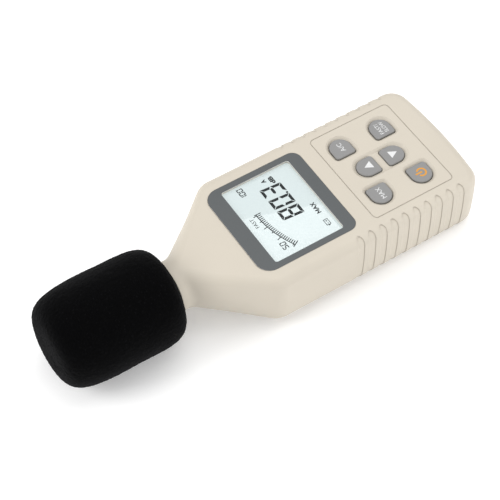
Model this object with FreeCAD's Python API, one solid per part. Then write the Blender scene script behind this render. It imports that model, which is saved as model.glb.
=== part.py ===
"""Hand-held sound level meter: case, display, keypad, microphone, windscreen and battery.

The meter lies on its back.  +Z points out of the display, +Y towards the microphone and
+X to the right of someone reading the display.  The origin is the mouth of the tripod
socket in the back face.  Lengths are in millimetres.
"""
import FreeCAD, Part
import math
import os

V = FreeCAD.Vector

# ---------------------------------------------------------------- driving dimensions
CASE_HALF_WIDTH = 34.5        # widest point of the bulged side walls
CASE_HEIGHT = 30.0            # back face to front face
SIDE_RADIUS = 130.0           # bulge of the side walls, seen along the case
SIDE_CENTRE_Z = 13.8          # height at which the case is widest
EDGE_RADIUS = 5.0             # round along the front and back edges
END_Y = -80.5                 # keypad end of the case
END_BOW_RADIUS = 225.0        # shallow bow of the end wall in plan
END_CORNER_RADIUS = 9.3       # corners of the case in plan
SHOULDER_Y = 32.0             # where the case starts to narrow
SHOULDER_RADIUS = 10.6        # round of the shoulder in plan
NECK_Y = 63.4                 # where the taper meets the round neck
NECK_END_Y = 68.6             # end face of the neck
NECK_RADIUS = 12.0
NECK_BLEND = 6.0              # hollow round between taper and neck
NECK_FLAT = 0.15              # half width of the flat left at the top of the neck
MIC_Z = 15.0                  # height of the microphone axis
WALL = 2.2                    # wall thickness of both shells
PARTING_Z = 5.0               # joint plane between front and rear shell
LIP_THICKNESS = 0.9           # tongue of the rear shell inside the front shell
LIP_TOP_Z = 7.0
LIP_END_Y = 52.0              # the tongue stops short of the neck
FIT_GAP = 0.1                 # gap between parts that are assembled together
FAR = 200.0                   # beyond every part of the meter
PAST = 1.0                    # how far a cutting solid runs past the face that it cuts

# display
BEZEL_TOP_Y = 35.5
BEZEL_BOTTOM_Y = -15.2
BEZEL_HALF_WIDTH = 25.9
BEZEL_TOP_RADIUS = 7.0
BEZEL_BOTTOM_RADIUS = 4.8
BEZEL_THICKNESS = 0.6
VIEW_HALF_WIDTH = 22.75       # clear part of the display
VIEW_TOP_Y = 27.5
VIEW_BOTTOM_Y = -8.8
VIEW_RADIUS = 1.3
OPENING_HALF_WIDTH = 25.0     # pocket for the display glass in the front shell
OPENING_TOP_Y = 29.2
OPENING_BOTTOM_Y = -10.6
OPENING_RADIUS = 0.6
LENS_SEAT_MARGIN = 0.25       # the lens and its seat reach this far under the bezel
LENS_THICKNESS = 1.1
LENS_GAP = 0.1                # gap between lens and seat
LCD_HALF_WIDTH = 24.4
LCD_TOP_Y = 28.8
LCD_BOTTOM_Y = -10.2
LCD_THICKNESS = 2.8
LCD_LEDGE = 0.6               # rear glass left bare along both contact edges
LENS_BOTTOM_Z = CASE_HEIGHT - BEZEL_THICKNESS - LENS_THICKNESS
LCD_TOP_Z = LENS_BOTTOM_Z - FIT_GAP
LCD_BOTTOM_Z = LCD_TOP_Z - LCD_THICKNESS
ZEBRA_HALF_LENGTH = 22.0
ZEBRA_WIDTH = 1.8
ZEBRA_INSET = 0.7
HOLDER_HALF_WIDTH = 26.6
HOLDER_RIM = 2.2
HOLDER_RADIUS = 1.0
HOLDER_WINDOW_HALF_WIDTH = 22.8
REFLECTOR_HALF_WIDTH = 21.5
REFLECTOR_INSET = 3.4

# keypad
PANEL_HALF_WIDTH = 26.7
PANEL_TOP_Y = -23.0
PANEL_BOTTOM_Y = -67.2
PANEL_RADIUS = 2.4
PANEL_GROOVE = 0.3
KEY_TOP_Z = 29.7
KEY_BOTTOM_Z = 25.9
KEY_GAP = 0.3                 # gap round a key in its hole
KEY_CORNER = 1.4
KEY_EDGE = 0.6                # round of a key's top edge
KEY_FLANGE = 0.9              # collar that keeps a key inside the shell
KEY_FLANGE_THICKNESS = 1.5
SIDE_KEY_X = 15.95            # columns of round-ended keys
SIDE_KEY_SIZE = 10.6
UPPER_KEY_Y = -33.8
LOWER_KEY_Y = -56.3
RANGE_KEY_WIDTH = 10.2
RANGE_KEY_LENGTH = 10.4
RANGE_UP_Y = -37.7
RANGE_DOWN_Y = -52.3
POCKET_DEPTH = 1.2            # dished pocket round each key
POCKET_FLARE = 1.65            # how far a pocket spreads at the surface
RANGE_POCKET_HALF_WIDTH = 5.5
RANGE_POCKET_TOP_Y = -31.8
RANGE_POCKET_BOTTOM_Y = -58.2

# finger grips on both sides
GRIP_COUNT = 10
GRIP_PITCH = 6.165
GRIP_WIDTH = 3.4
GRIP_FIRST_Y = -10.92
GRIP_TOP_Z = 29.8
GRIP_BOTTOM_Z = 1.4
GRIP_SHALLOW = 0.20           # depth at the end towards the display
GRIP_DEEP = 0.30              # depth at the end towards the keypad

# boards
BOARD_BOTTOM_Z = 21.1
BOARD_THICKNESS = 1.6
BOARD_TOP_Z = BOARD_BOTTOM_Z + BOARD_THICKNESS
BOARD_HALF_WIDTH = 30.9
BOARD_TOP_Y = 30.5
BOARD_BOTTOM_Y = -67.5
BOARD_BOTTOM_RADIUS = 3.0
BOARD_TOP_RADIUS = 5.0
BOARD_HOLE_CLEARANCE = 0.3
BOSS_CLEARANCE = 0.7
POST_X = 28.5
POST_Y = (27.4, -63.6)
POST_RADIUS = 1.9
POST_CLEARANCE = 0.4
BOARD_SCREW_RADIUS = 0.9
BOARD_SCREW_LENGTH = 3.3      # thread above the board
BOARD_SCREW_HEAD_RADIUS = 1.8
BOARD_SCREW_HEAD_HEIGHT = 1.3
POST_PLACES = [(x, y) for x in (-POST_X, POST_X) for y in POST_Y]

# silicone mat under the keys
MAT_HALF_WIDTH = 23.5
MAT_TOP_Y = -26.5
MAT_BOTTOM_Y = -64.5
MAT_RADIUS = 2.0
MAT_THICKNESS = 1.2
DOME_HEIGHT = 0.8
DOME_RADIUS = 3.9
DOME_TAPER = 1.0
DOME_WALL = 0.9
DOME_ROOF = 0.1
PILL_RADIUS = 2.0
PILL_THICKNESS = 0.5

# components on the rear of the board
CHIP_HEIGHT = 1.6
CHIP_STANDOFF = 0.1
LEAD_HALF_WIDTH = 0.2
LEAD_HEIGHT = 0.4
CONTROLLER_PLACE = (-12.0, 12.0)
CONTROLLER_HALF_WIDTH = 5.0
CONTROLLER_LEADS = 9          # on each of its four sides
CONTROLLER_LEAD_PITCH = 1.0
CONTROLLER_LEAD_REACH = 1.2
AMPLIFIER_X = (3.0, 11.0, 19.0)
AMPLIFIER_Y = 20.0
AMPLIFIER_HALF_WIDTH = 2.5
AMPLIFIER_HALF_LENGTH = 2.0
AMPLIFIER_LEAD_X = (-1.9, -0.65, 0.65, 1.9)
AMPLIFIER_LEAD_REACH = 1.0
CAPACITOR_PLACES = ((22.0, -4.0), (22.0, 4.0), (15.0, 4.0), (-24.0, 0.0))
CAPACITOR_RADIUS = 2.5
CAPACITOR_HEIGHT = 7.0
TRIMMER_PLACE = (24.0, 14.0)
TRIMMER_HALF_WIDTH = 3.0
TRIMMER_HEIGHT = 3.6
ROTOR_RADIUS = 1.8
ROTOR_HEIGHT = 0.8
ROTOR_SLOT = 0.6
CROSS_SLOT = 0.6              # width of the cross recesses in the screw heads

# case screws
SCREW_PLACES = ((-25.0, 34.6), (25.0, 34.6), (-26.8, -70.8), (26.8, -70.8))
SCREW_RADIUS = 1.25
SCREW_HEAD_RADIUS = 2.6
SCREW_HEAD_BOTTOM_Z = 1.2
SCREW_HEAD_TOP_Z = 3.2
SCREW_TIP_Z = 17.0
SCREW_HEAD_ROUND = 0.7
SCREW_SLOT_REACH = 1.7
SCREW_SLOT_DEPTH = 1.2
SCREW_CLEARANCE = 0.35
COUNTERBORE_RADIUS = 3.0
BOSS_RADIUS = 3.1
BOSS_MEET_Z = 10.0
SCREW_TUBE_RADIUS = 3.5

# tripod socket, 1/4-20 thread
SOCKET_RADIUS = 2.55
SOCKET_DEPTH = 8.0
INSERT_RADIUS = 4.2
INSERT_LENGTH = 9.0
SOCKET_BOSS_RADIUS = 6.4
SOCKET_BOSS_TOP_Z = 10.6

# battery bay
BAY_HALF_WIDTH = 13.8
BAY_TOP_Y = -19.5
BAY_BOTTOM_Y = -76.8
BAY_TOP_Z = 20.0
BAY_WALL = 0.9
DOOR_HALF_WIDTH = 16.0
DOOR_TOP_Y = -16.5
DOOR_THICKNESS = 2.1
DOOR_GAP = 0.15
RAIL_HALF_WIDTH = 17.3
RAIL_BOTTOM_Z = 1.1
RAIL_TOP_Z = 2.1
RAIL_PAD_HALF_WIDTH = 18.6
RAIL_PAD_TOP_Z = 3.4
RAIL_PAD_TOP_Y = -15.0
RAIL_START_Y = -73.0
RAIL_END_Y = -20.0
RIDGE_COUNT = 5               # thumb grooves in the door
RIDGE_PITCH = 1.6
RIDGE_WIDTH = 0.8
RIDGE_DEPTH = 0.5
RIDGE_HALF_LENGTH = 8.0
RIDGE_FIRST_Y = DOOR_TOP_Y - 6.0
LEAD_NOTCH_HALF_WIDTH = 5.0
LEAD_NOTCH_Z = (12.5, 18.5)
BATTERY_HALF_WIDTH = 13.1
BATTERY_LENGTH = 46.4         # body of a PP3 battery without its snaps
BATTERY_THICKNESS = 16.9
BATTERY_BOTTOM_Y = -75.9
BATTERY_BOTTOM_Z = 2.9
BATTERY_EDGE = 1.6
BATTERY_TOP_Y = BATTERY_BOTTOM_Y + BATTERY_LENGTH
BATTERY_MIDDLE_Z = BATTERY_BOTTOM_Z + BATTERY_THICKNESS / 2.0
SNAP_OFFSET_X = 6.35
SNAP_HEIGHT = 2.4
ROUND_SNAP_RADIUS = 2.9
FLARED_SNAP_RADIUS = 3.8
SNAP_PLATE_HALF_WIDTH = 12.0
SNAP_PLATE_HALF_HEIGHT = 5.6
SNAP_PLATE_START = 0.2
SNAP_PLATE_END = 4.2
LEAD_X = 2.0
LEAD_Z = 15.5
LEAD_RISE_Y = BAY_TOP_Y + 5.0
LEAD_BEND = 3.0
LEAD_RADIUS = 0.7
PAD_HALF_WIDTH = 10.0         # foam strip between door and battery
PAD_THICKNESS = 0.6
PAD_START_Y = -70.0
PAD_END_Y = -36.0
PAD_CLEARANCE = 0.5

# microphone
BARREL_RADIUS = 6.35          # half-inch microphone
BARREL_BORE = 5.6
BARREL_START_Y = 56.0
BARREL_END_Y = 104.0
GRID_END_Y = 106.0
CAPSULE_RADIUS = 5.5
CAPSULE_START_Y = 96.5
CAPSULE_SETBACK = 0.4
CAPSULE_CONTACT_RADIUS = 1.2
CAPSULE_CONTACT_LENGTH = 1.5
GRID_THICKNESS = 0.8
GRID_BORE = 5.0
GRID_EDGE = 0.6
GRID_HOLE_RADIUS = 0.6
GRID_RINGS = ((1.9, 6), (3.8, 12))     # radius and number of holes
SEAL_LENGTH = 4.0
PREAMP_HALF_WIDTH = 5.0
PREAMP_START_Y = BARREL_START_Y - 16.0
PREAMP_END_Y = BARREL_START_Y + 12.0
PREAMP_HALF_THICKNESS = 0.5
SCREENED_LEAD_RADIUS = 0.9
SCREENED_LEAD_BEND = 4.0
SCREENED_LEAD_Y = 27.0

# foam windscreen
FOAM_RADIUS = 23.6
FOAM_START_Y = 68.9
FOAM_END_Y = 130.3
FOAM_MIDDLE_Y = 94.3
FOAM_FULLNESS_ALONG = 4.4     # exponents of the superellipse that its outline follows
FOAM_FULLNESS_ROUND = 5.0
FOAM_BORE_RADIUS = 6.65
FOAM_BORE_END_Y = 107.0
FOAM_PROFILE_STEPS = 7


# ---------------------------------------------------------------- helpers
def block(x0, x1, y0, y1, z0, z1):
    return Part.makeBox(x1 - x0, y1 - y0, z1 - z0, V(x0, y0, z0))


def post(x, y, z0, z1, radius):
    return Part.makeCylinder(radius, z1 - z0, V(x, y, z0), V(0, 0, 1))


def rod(x, z, y0, y1, radius):
    return Part.makeCylinder(radius, y1 - y0, V(x, y0, z), V(0, 1, 0))


def arc(a, b, c):
    return Part.Arc(a, b, c).toShape()


def line(a, b):
    return Part.LineSegment(a, b).toShape()


def prism(wire, height):
    return Part.Face(wire).extrude(V(0, 0, height))


def rounded_outline(half_width, y_low, y_high, r_low, r_high, z):
    """Rectangle in plan, symmetric about x = 0, with its own corner radius at each end."""
    s = math.sqrt(0.5)
    w = half_width
    return Part.Wire([
        line(V(-w + r_low, y_low, z), V(w - r_low, y_low, z)),
        arc(V(w - r_low, y_low, z),
            V(w - r_low + r_low * s, y_low + r_low - r_low * s, z),
            V(w, y_low + r_low, z)),
        line(V(w, y_low + r_low, z), V(w, y_high - r_high, z)),
        arc(V(w, y_high - r_high, z),
            V(w - r_high + r_high * s, y_high - r_high + r_high * s, z),
            V(w - r_high, y_high, z)),
        line(V(w - r_high, y_high, z), V(-w + r_high, y_high, z)),
        arc(V(-w + r_high, y_high, z),
            V(-w + r_high - r_high * s, y_high - r_high + r_high * s, z),
            V(-w, y_high - r_high, z)),
        line(V(-w, y_high - r_high, z), V(-w, y_low + r_low, z)),
        arc(V(-w, y_low + r_low, z),
            V(-w + r_low - r_low * s, y_low + r_low - r_low * s, z),
            V(-w + r_low, y_low, z)),
    ])


def rounded_block(half_width, y_low, y_high, r_low, r_high, z0, z1):
    return prism(rounded_outline(half_width, y_low, y_high, r_low, r_high, z0), z1 - z0)


def fillet_where(shape, radius, wanted):
    edges = [e for e in shape.Edges if wanted(e)]
    return shape.makeFillet(radius, edges)


def ends_of(edge):
    return [v.Point for v in edge.Vertexes]


def along_z(edge):
    points = ends_of(edge)
    return len(points) == 2 and abs(points[0].z - points[1].z) > 10.0


def all_at(edge, axis, value, tolerance=0.01):
    return all(abs(getattr(p, axis) - value) < tolerance for p in ends_of(edge))


# ---------------------------------------------------------------- outer shape of the case
def side_x(z, inset):
    """Half width of the case at height z, for a skin that lies inset inside the outside."""
    radius = SIDE_RADIUS - inset
    centre = CASE_HALF_WIDTH - SIDE_RADIUS
    return centre + math.sqrt(radius ** 2 - (z - SIDE_CENTRE_Z) ** 2)


def straight_body(inset, y1):
    """The part of the case with parallel sides, keypad end included, edges rounded."""
    low, high = inset, CASE_HEIGHT - inset
    y0 = END_Y - 5.0
    corners = [V(-side_x(low, inset), y0, low), V(side_x(low, inset), y0, low),
               V(side_x(high, inset), y0, high), V(-side_x(high, inset), y0, high)]
    middle = side_x(SIDE_CENTRE_Z, inset)
    profile = Part.Wire([
        line(corners[0], corners[1]),
        arc(corners[1], V(middle, y0, SIDE_CENTRE_Z), corners[2]),
        line(corners[2], corners[3]),
        arc(corners[3], V(-middle, y0, SIDE_CENTRE_Z), corners[0]),
    ])
    body = Part.Face(profile).extrude(V(0, y1 - y0, 0))
    bow = END_BOW_RADIUS - inset
    body = body.common(Part.makeCylinder(bow, CASE_HEIGHT, V(0, END_Y + END_BOW_RADIUS, 0)))
    body = fillet_where(body, END_CORNER_RADIUS - inset,
                        lambda e: along_z(e) and ends_of(e)[0].y < y1 - 1.0)
    edge = EDGE_RADIUS - inset
    body = fillet_where(body, edge, lambda e: all_at(e, "z", high) and not all_at(e, "y", y1))
    return fillet_where(body, edge, lambda e: all_at(e, "z", low) and not all_at(e, "y", y1))


def body_section(inset):
    """Top, widest and bottom points of the rounded case section, right half, as (x, z)."""
    edge = EDGE_RADIUS - inset
    radius = SIDE_RADIUS - inset
    centre_x = CASE_HALF_WIDTH - SIDE_RADIUS
    corners = []
    for z_face, side in ((CASE_HEIGHT - inset, 1.0), (inset, -1.0)):
        z_corner = z_face - side * edge
        rise = z_corner - SIDE_CENTRE_Z
        x_corner = centre_x + math.sqrt((radius - edge) ** 2 - rise ** 2)
        angle = math.atan2(rise, x_corner - centre_x)
        half = (angle + side * math.pi / 2.0) / 2.0
        corners.append([
            (x_corner, z_face),
            (x_corner + edge * math.cos(half), z_corner + edge * math.sin(half)),
            (centre_x + radius * math.cos(angle), SIDE_CENTRE_Z + radius * math.sin(angle)),
        ])
    top, bottom = corners
    return top + [(side_x(SIDE_CENTRE_Z, inset), SIDE_CENTRE_Z)] + bottom[::-1]


def neck_section(inset):
    """The same seven points on the round neck."""
    radius = NECK_RADIUS - inset
    flat = math.degrees(math.acos(NECK_FLAT / radius))
    return [(radius * math.cos(math.radians(a)), MIC_Z + radius * math.sin(math.radians(a)))
            for a in (flat, 70.0, 50.0, 0.0, -50.0, -70.0, -flat)]


def section_wire(points, y):
    """Closed wire of eight edges through seven points of the right half and their mirrors."""
    right = [V(x, y, z) for x, z in points]
    left = [V(-x, y, z) for x, z in points]
    return Part.Wire([
        line(left[0], right[0]),
        arc(right[0], right[1], right[2]),
        arc(right[2], right[3], right[4]),
        arc(right[4], right[5], right[6]),
        line(right[6], left[6]),
        arc(left[6], left[5], left[4]),
        arc(left[4], left[3], left[2]),
        arc(left[2], left[1], left[0]),
    ])


def taper_share(y, shoulder_reach, neck_reach):
    """Share of the way from case section to neck section at y, rounded at both ends."""
    slope = 1.0 / (NECK_Y - SHOULDER_Y)
    if y < SHOULDER_Y + shoulder_reach:
        return slope * (y - SHOULDER_Y + shoulder_reach) ** 2 / (4.0 * shoulder_reach)
    if y > NECK_Y - neck_reach:
        return 1.0 - slope * (NECK_Y + neck_reach - y) ** 2 / (4.0 * neck_reach)
    return slope * (y - SHOULDER_Y)


def taper_body(inset):
    """Shoulders and taper, ending in the round neck."""
    case_points, neck_points = body_section(inset), neck_section(inset)
    turn = math.atan((CASE_HALF_WIDTH - NECK_RADIUS) / (NECK_Y - SHOULDER_Y))
    shoulder_reach = SHOULDER_RADIUS * math.tan(turn / 2.0)
    neck_reach = NECK_BLEND * math.tan(turn / 2.0)
    steps = 4
    places = [SHOULDER_Y + shoulder_reach * (2.0 * i / steps - 1.0) for i in range(steps + 1)]
    places += [SHOULDER_Y + (NECK_Y - SHOULDER_Y) * share for share in (0.35, 0.6, 0.8)]
    places += [NECK_Y + neck_reach * (2.0 * i / steps - 1.0) for i in range(steps + 1)]
    sections = []
    for y in places:
        share = taper_share(y, shoulder_reach, neck_reach)
        points = [((1.0 - share) * a[0] + share * b[0], (1.0 - share) * a[1] + share * b[1])
                  for a, b in zip(case_points, neck_points)]
        sections.append(section_wire(points, y))
    return Part.makeLoft(sections, True, False), places[0], places[-1]


def case_body(inset):
    """Whole outside of the case, or the same shape lying inset inside it."""
    taper, start, end = taper_body(inset)
    neck = rod(0.0, MIC_Z, end, NECK_END_Y - inset, NECK_RADIUS - inset)
    return straight_body(inset, start).fuse([taper, neck]).removeSplitter()


# ---------------------------------------------------------------- key outlines
def round_end_outline(x, y, width, length, heading, grow, z):
    """Key outline in plan: a half round end towards heading and a square end behind it.

    heading is the angle, in degrees, of the round end.  grow moves the outline outwards.
    """
    half = width / 2.0 + grow
    back = width / 2.0 - length - grow
    corner = KEY_CORNER + grow
    s = corner * (1.0 - math.sqrt(0.5))
    wire = Part.Wire([
        arc(V(0, -half, 0), V(half, 0, 0), V(0, half, 0)),
        line(V(0, half, 0), V(back + corner, half, 0)),
        arc(V(back + corner, half, 0), V(back + s, half - s, 0), V(back, half - corner, 0)),
        line(V(back, half - corner, 0), V(back, -half + corner, 0)),
        arc(V(back, -half + corner, 0), V(back + s, -half + s, 0), V(back + corner, -half, 0)),
        line(V(back + corner, -half, 0), V(0, -half, 0)),
    ])
    middle = (length - width) / 2.0
    wire.translate(V(middle, 0, 0))
    wire.rotate(V(0, 0, 0), V(0, 0, 1), heading)
    wire.translate(V(x, y, z))
    return wire


KEYS = {
    "max_key": (-SIDE_KEY_X, UPPER_KEY_Y, SIDE_KEY_SIZE, SIDE_KEY_SIZE, 180.0),
    "weighting_key": (SIDE_KEY_X, UPPER_KEY_Y, SIDE_KEY_SIZE, SIDE_KEY_SIZE, 0.0),
    "power_key": (-SIDE_KEY_X, LOWER_KEY_Y, SIDE_KEY_SIZE, SIDE_KEY_SIZE, 180.0),
    "response_key": (SIDE_KEY_X, LOWER_KEY_Y, SIDE_KEY_SIZE, SIDE_KEY_SIZE, 0.0),
    "range_up_key": (0.0, RANGE_UP_Y, RANGE_KEY_WIDTH, RANGE_KEY_LENGTH, 90.0),
    "range_down_key": (0.0, RANGE_DOWN_Y, RANGE_KEY_WIDTH, RANGE_KEY_LENGTH, 270.0),
}


def key_prism(name, grow, z0, z1):
    x, y, width, length, heading = KEYS[name]
    return prism(round_end_outline(x, y, width, length, heading, grow, z0), z1 - z0)


def key_cap(name):
    """Moulded key with a rounded top edge and a collar under the shell."""
    cap = key_prism(name, 0.0, KEY_BOTTOM_Z, KEY_TOP_Z)
    cap = fillet_where(cap, KEY_EDGE, lambda e: all_at(e, "z", KEY_TOP_Z))
    collar = key_prism(name, KEY_FLANGE, KEY_BOTTOM_Z, KEY_BOTTOM_Z + KEY_FLANGE_THICKNESS)
    return cap.fuse(collar).removeSplitter()


def flared(wire_low, wire_high):
    return Part.makeLoft([wire_low, wire_high], True, True)


def key_pockets():
    """Dished pockets: one round each side key and a long one shared by the range keys."""
    low, high = CASE_HEIGHT - POCKET_DEPTH, CASE_HEIGHT + 0.05
    pockets = []
    for name in ("max_key", "weighting_key", "power_key", "response_key"):
        x, y, width, length, heading = KEYS[name]
        pockets.append(flared(
            round_end_outline(x, y, width, length, heading, KEY_GAP + 0.2, low),
            round_end_outline(x, y, width, length, heading, POCKET_FLARE, high)))
    narrow, wide = RANGE_POCKET_HALF_WIDTH, RANGE_POCKET_HALF_WIDTH + POCKET_FLARE - KEY_GAP
    spread = wide - narrow
    pockets.append(flared(
        rounded_outline(narrow, RANGE_POCKET_BOTTOM_Y, RANGE_POCKET_TOP_Y,
                        narrow - 0.05, narrow - 0.05, low),
        rounded_outline(wide, RANGE_POCKET_BOTTOM_Y - spread, RANGE_POCKET_TOP_Y + spread,
                        wide - 0.05, wide - 0.05, high)))
    return pockets


# ---------------------------------------------------------------- grips
def grip_cutters():
    """Arched scoops with a sloping floor, each deepest at its keypad end."""
    half = GRIP_WIDTH / 2.0
    arch_z = GRIP_TOP_Z - half
    foot_z = GRIP_BOTTOM_Z + half
    cutters = []
    for i in range(GRIP_COUNT):
        y = GRIP_FIRST_Y - GRIP_PITCH * i
        window = Part.Face(Part.Wire([
            arc(V(-40, y + half, arch_z), V(-40, y, GRIP_TOP_Z), V(-40, y - half, arch_z)),
            line(V(-40, y - half, arch_z), V(-40, y - half, foot_z)),
            arc(V(-40, y - half, foot_z), V(-40, y, GRIP_BOTTOM_Z), V(-40, y + half, foot_z)),
            line(V(-40, y + half, foot_z), V(-40, y + half, arch_z)),
        ])).extrude(V(80, 0, 0))
        margin = 0.2
        slope = (GRIP_DEEP - GRIP_SHALLOW) / GRIP_WIDTH
        kept = Part.makeLoft([
            section_wire(body_section(GRIP_SHALLOW - slope * margin), y + half + margin),
            section_wire(body_section(GRIP_DEEP + slope * margin), y - half - margin),
        ], True, True)
        cutters.append(window.cut(kept))
    return cutters


# ---------------------------------------------------------------- shells
def panel_groove():
    """Fine square groove round the keypad, as wide as it is deep."""
    outer = rounded_block(PANEL_HALF_WIDTH, PANEL_BOTTOM_Y, PANEL_TOP_Y, PANEL_RADIUS,
                          PANEL_RADIUS, CASE_HEIGHT - PANEL_GROOVE, CASE_HEIGHT + PAST)
    g = PANEL_GROOVE
    inner = rounded_block(PANEL_HALF_WIDTH - g, PANEL_BOTTOM_Y + g, PANEL_TOP_Y - g,
                          PANEL_RADIUS - g, PANEL_RADIUS - g,
                          CASE_HEIGHT - PANEL_GROOVE - PAST, CASE_HEIGHT + 2.0 * PAST)
    return outer.cut(inner)


def bezel_recess():
    g = FIT_GAP
    return rounded_block(BEZEL_HALF_WIDTH + g, BEZEL_BOTTOM_Y - g, BEZEL_TOP_Y + g,
                         BEZEL_BOTTOM_RADIUS + g, BEZEL_TOP_RADIUS + g,
                         CASE_HEIGHT - BEZEL_THICKNESS, CASE_HEIGHT + PAST)


def display_opening():
    """Seat for the lens, and below it a wider pocket for the display glass."""
    m = LENS_SEAT_MARGIN
    low = CASE_HEIGHT - WALL - PAST
    seat = rounded_block(VIEW_HALF_WIDTH + m, VIEW_BOTTOM_Y - m, VIEW_TOP_Y + m,
                         VIEW_RADIUS + m, VIEW_RADIUS + m, low, CASE_HEIGHT)
    pocket = rounded_block(OPENING_HALF_WIDTH, OPENING_BOTTOM_Y, OPENING_TOP_Y,
                           OPENING_RADIUS, OPENING_RADIUS, low, LENS_BOTTOM_Z)
    return seat.fuse(pocket)


def front_shell(outer, inner):
    """Deep front shell with display opening, key holes, grips, screw bosses and board posts."""
    shell = outer.cut(inner).common(block(-FAR, FAR, -FAR, FAR, PARTING_Z, FAR))
    ceiling = CASE_HEIGHT - WALL + FIT_GAP
    adds = [post(x, y, BOSS_MEET_Z, ceiling, BOSS_RADIUS) for x, y in SCREW_PLACES]
    adds += [post(x, y, BOARD_TOP_Z, ceiling, POST_RADIUS) for x, y in POST_PLACES]
    shell = shell.fuse([a.common(outer) for a in adds])
    cuts = [bezel_recess(), display_opening(), panel_groove()]
    cuts += key_pockets()
    cuts += [key_prism(name, KEY_GAP, CASE_HEIGHT - WALL - PAST, CASE_HEIGHT) for name in KEYS]
    cuts += [post(x, y, BOSS_MEET_Z - PAST, SCREW_TIP_Z + PAST, SCREW_RADIUS)
             for x, y in SCREW_PLACES]
    cuts += [post(x, y, BOARD_TOP_Z - PAST, BOARD_TOP_Z + BOARD_SCREW_LENGTH + FIT_GAP,
                  BOARD_SCREW_RADIUS) for x, y in POST_PLACES]
    cuts.append(rod(0.0, MIC_Z, NECK_END_Y - WALL - PAST, NECK_END_Y + PAST,
                    BARREL_RADIUS + FIT_GAP))
    cuts += grip_cutters()
    return shell.cut(cuts).removeSplitter()


def bay_walls():
    """Five-sided box over the battery, open to the door below."""
    w, t = BAY_HALF_WIDTH, BAY_WALL
    floor_z = DOOR_THICKNESS + DOOR_GAP
    walls = block(-w - t, w + t, BAY_BOTTOM_Y - t, BAY_TOP_Y + t, floor_z, BAY_TOP_Z + t)
    lead_notch = block(-LEAD_NOTCH_HALF_WIDTH, LEAD_NOTCH_HALF_WIDTH, BAY_TOP_Y - PAST,
                       BAY_TOP_Y + t + PAST, LEAD_NOTCH_Z[0], LEAD_NOTCH_Z[1])
    return walls.cut([bay_space(), lead_notch, pad_path()])


def bay_space():
    return block(-BAY_HALF_WIDTH, BAY_HALF_WIDTH, BAY_BOTTOM_Y, BAY_TOP_Y, 0.0, BAY_TOP_Z)


def pad_path():
    """Way out for the door's foam pad under the bay's end wall."""
    half = PAD_HALF_WIDTH + PAD_CLEARANCE
    return block(-half, half, -FAR, BAY_BOTTOM_Y + PAST, 0.0,
                 DOOR_THICKNESS + PAD_THICKNESS + PAD_CLEARANCE)


def rear_lip(outer):
    """Tongue round the rear shell that centres the front shell."""
    lip_outer = case_body(WALL + FIT_GAP)
    lip_inner = case_body(WALL + FIT_GAP + LIP_THICKNESS)
    tongue = lip_outer.cut(lip_inner).common(
        block(-FAR, FAR, -FAR, LIP_END_Y, WALL - FIT_GAP, LIP_TOP_Z))
    root = outer.cut(lip_inner).common(
        block(-FAR, FAR, -FAR, LIP_END_Y, LIP_THICKNESS, PARTING_Z - LIP_THICKNESS))
    return tongue.fuse(root)


def door_space():
    """Everything that the battery door and its rails slide through."""
    g = DOOR_GAP
    w = DOOR_HALF_WIDTH + g
    return [
        pad_path(),
        block(-w, w, -FAR, DOOR_TOP_Y + g, -PAST, DOOR_THICKNESS + g),
        block(-w, w, -FAR, BAY_BOTTOM_Y - BAY_WALL - g, -PAST, LIP_TOP_Z + PAST),
        block(-RAIL_HALF_WIDTH - g, RAIL_HALF_WIDTH + g, -FAR, RAIL_END_Y + PAST,
              RAIL_BOTTOM_Z - g, RAIL_TOP_Z + g),
    ]


def rear_shell(outer, inner):
    """Shallow rear shell with battery bay, door rails, tripod boss and screw tubes."""
    shell = outer.cut(inner).common(block(-FAR, FAR, -FAR, FAR, -FAR, PARTING_Z))
    adds = [post(x, y, SCREW_HEAD_BOTTOM_Z, BOSS_MEET_Z - FIT_GAP, SCREW_TUBE_RADIUS)
            for x, y in SCREW_PLACES]
    adds.append(post(0.0, 0.0, 0.0, SOCKET_BOSS_TOP_Z, SOCKET_BOSS_RADIUS))
    adds.append(block(-RAIL_PAD_HALF_WIDTH, RAIL_PAD_HALF_WIDTH, BAY_BOTTOM_Y - BAY_WALL,
                      RAIL_PAD_TOP_Y, RAIL_BOTTOM_Z, RAIL_PAD_TOP_Z))
    shell = shell.fuse([rear_lip(outer)] + [a.common(outer) for a in adds])
    cuts = door_space()
    for x, y in SCREW_PLACES:
        cuts.append(post(x, y, -PAST, SCREW_HEAD_TOP_Z, COUNTERBORE_RADIUS))
        cuts.append(post(x, y, 0.0, BOSS_MEET_Z + PAST, SCREW_RADIUS + SCREW_CLEARANCE))
    cuts.append(post(0.0, 0.0, -PAST, INSERT_LENGTH, INSERT_RADIUS))
    cuts += grip_cutters()
    return shell.cut(cuts).fuse(bay_walls()).cut(bay_space()).removeSplitter()


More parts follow.
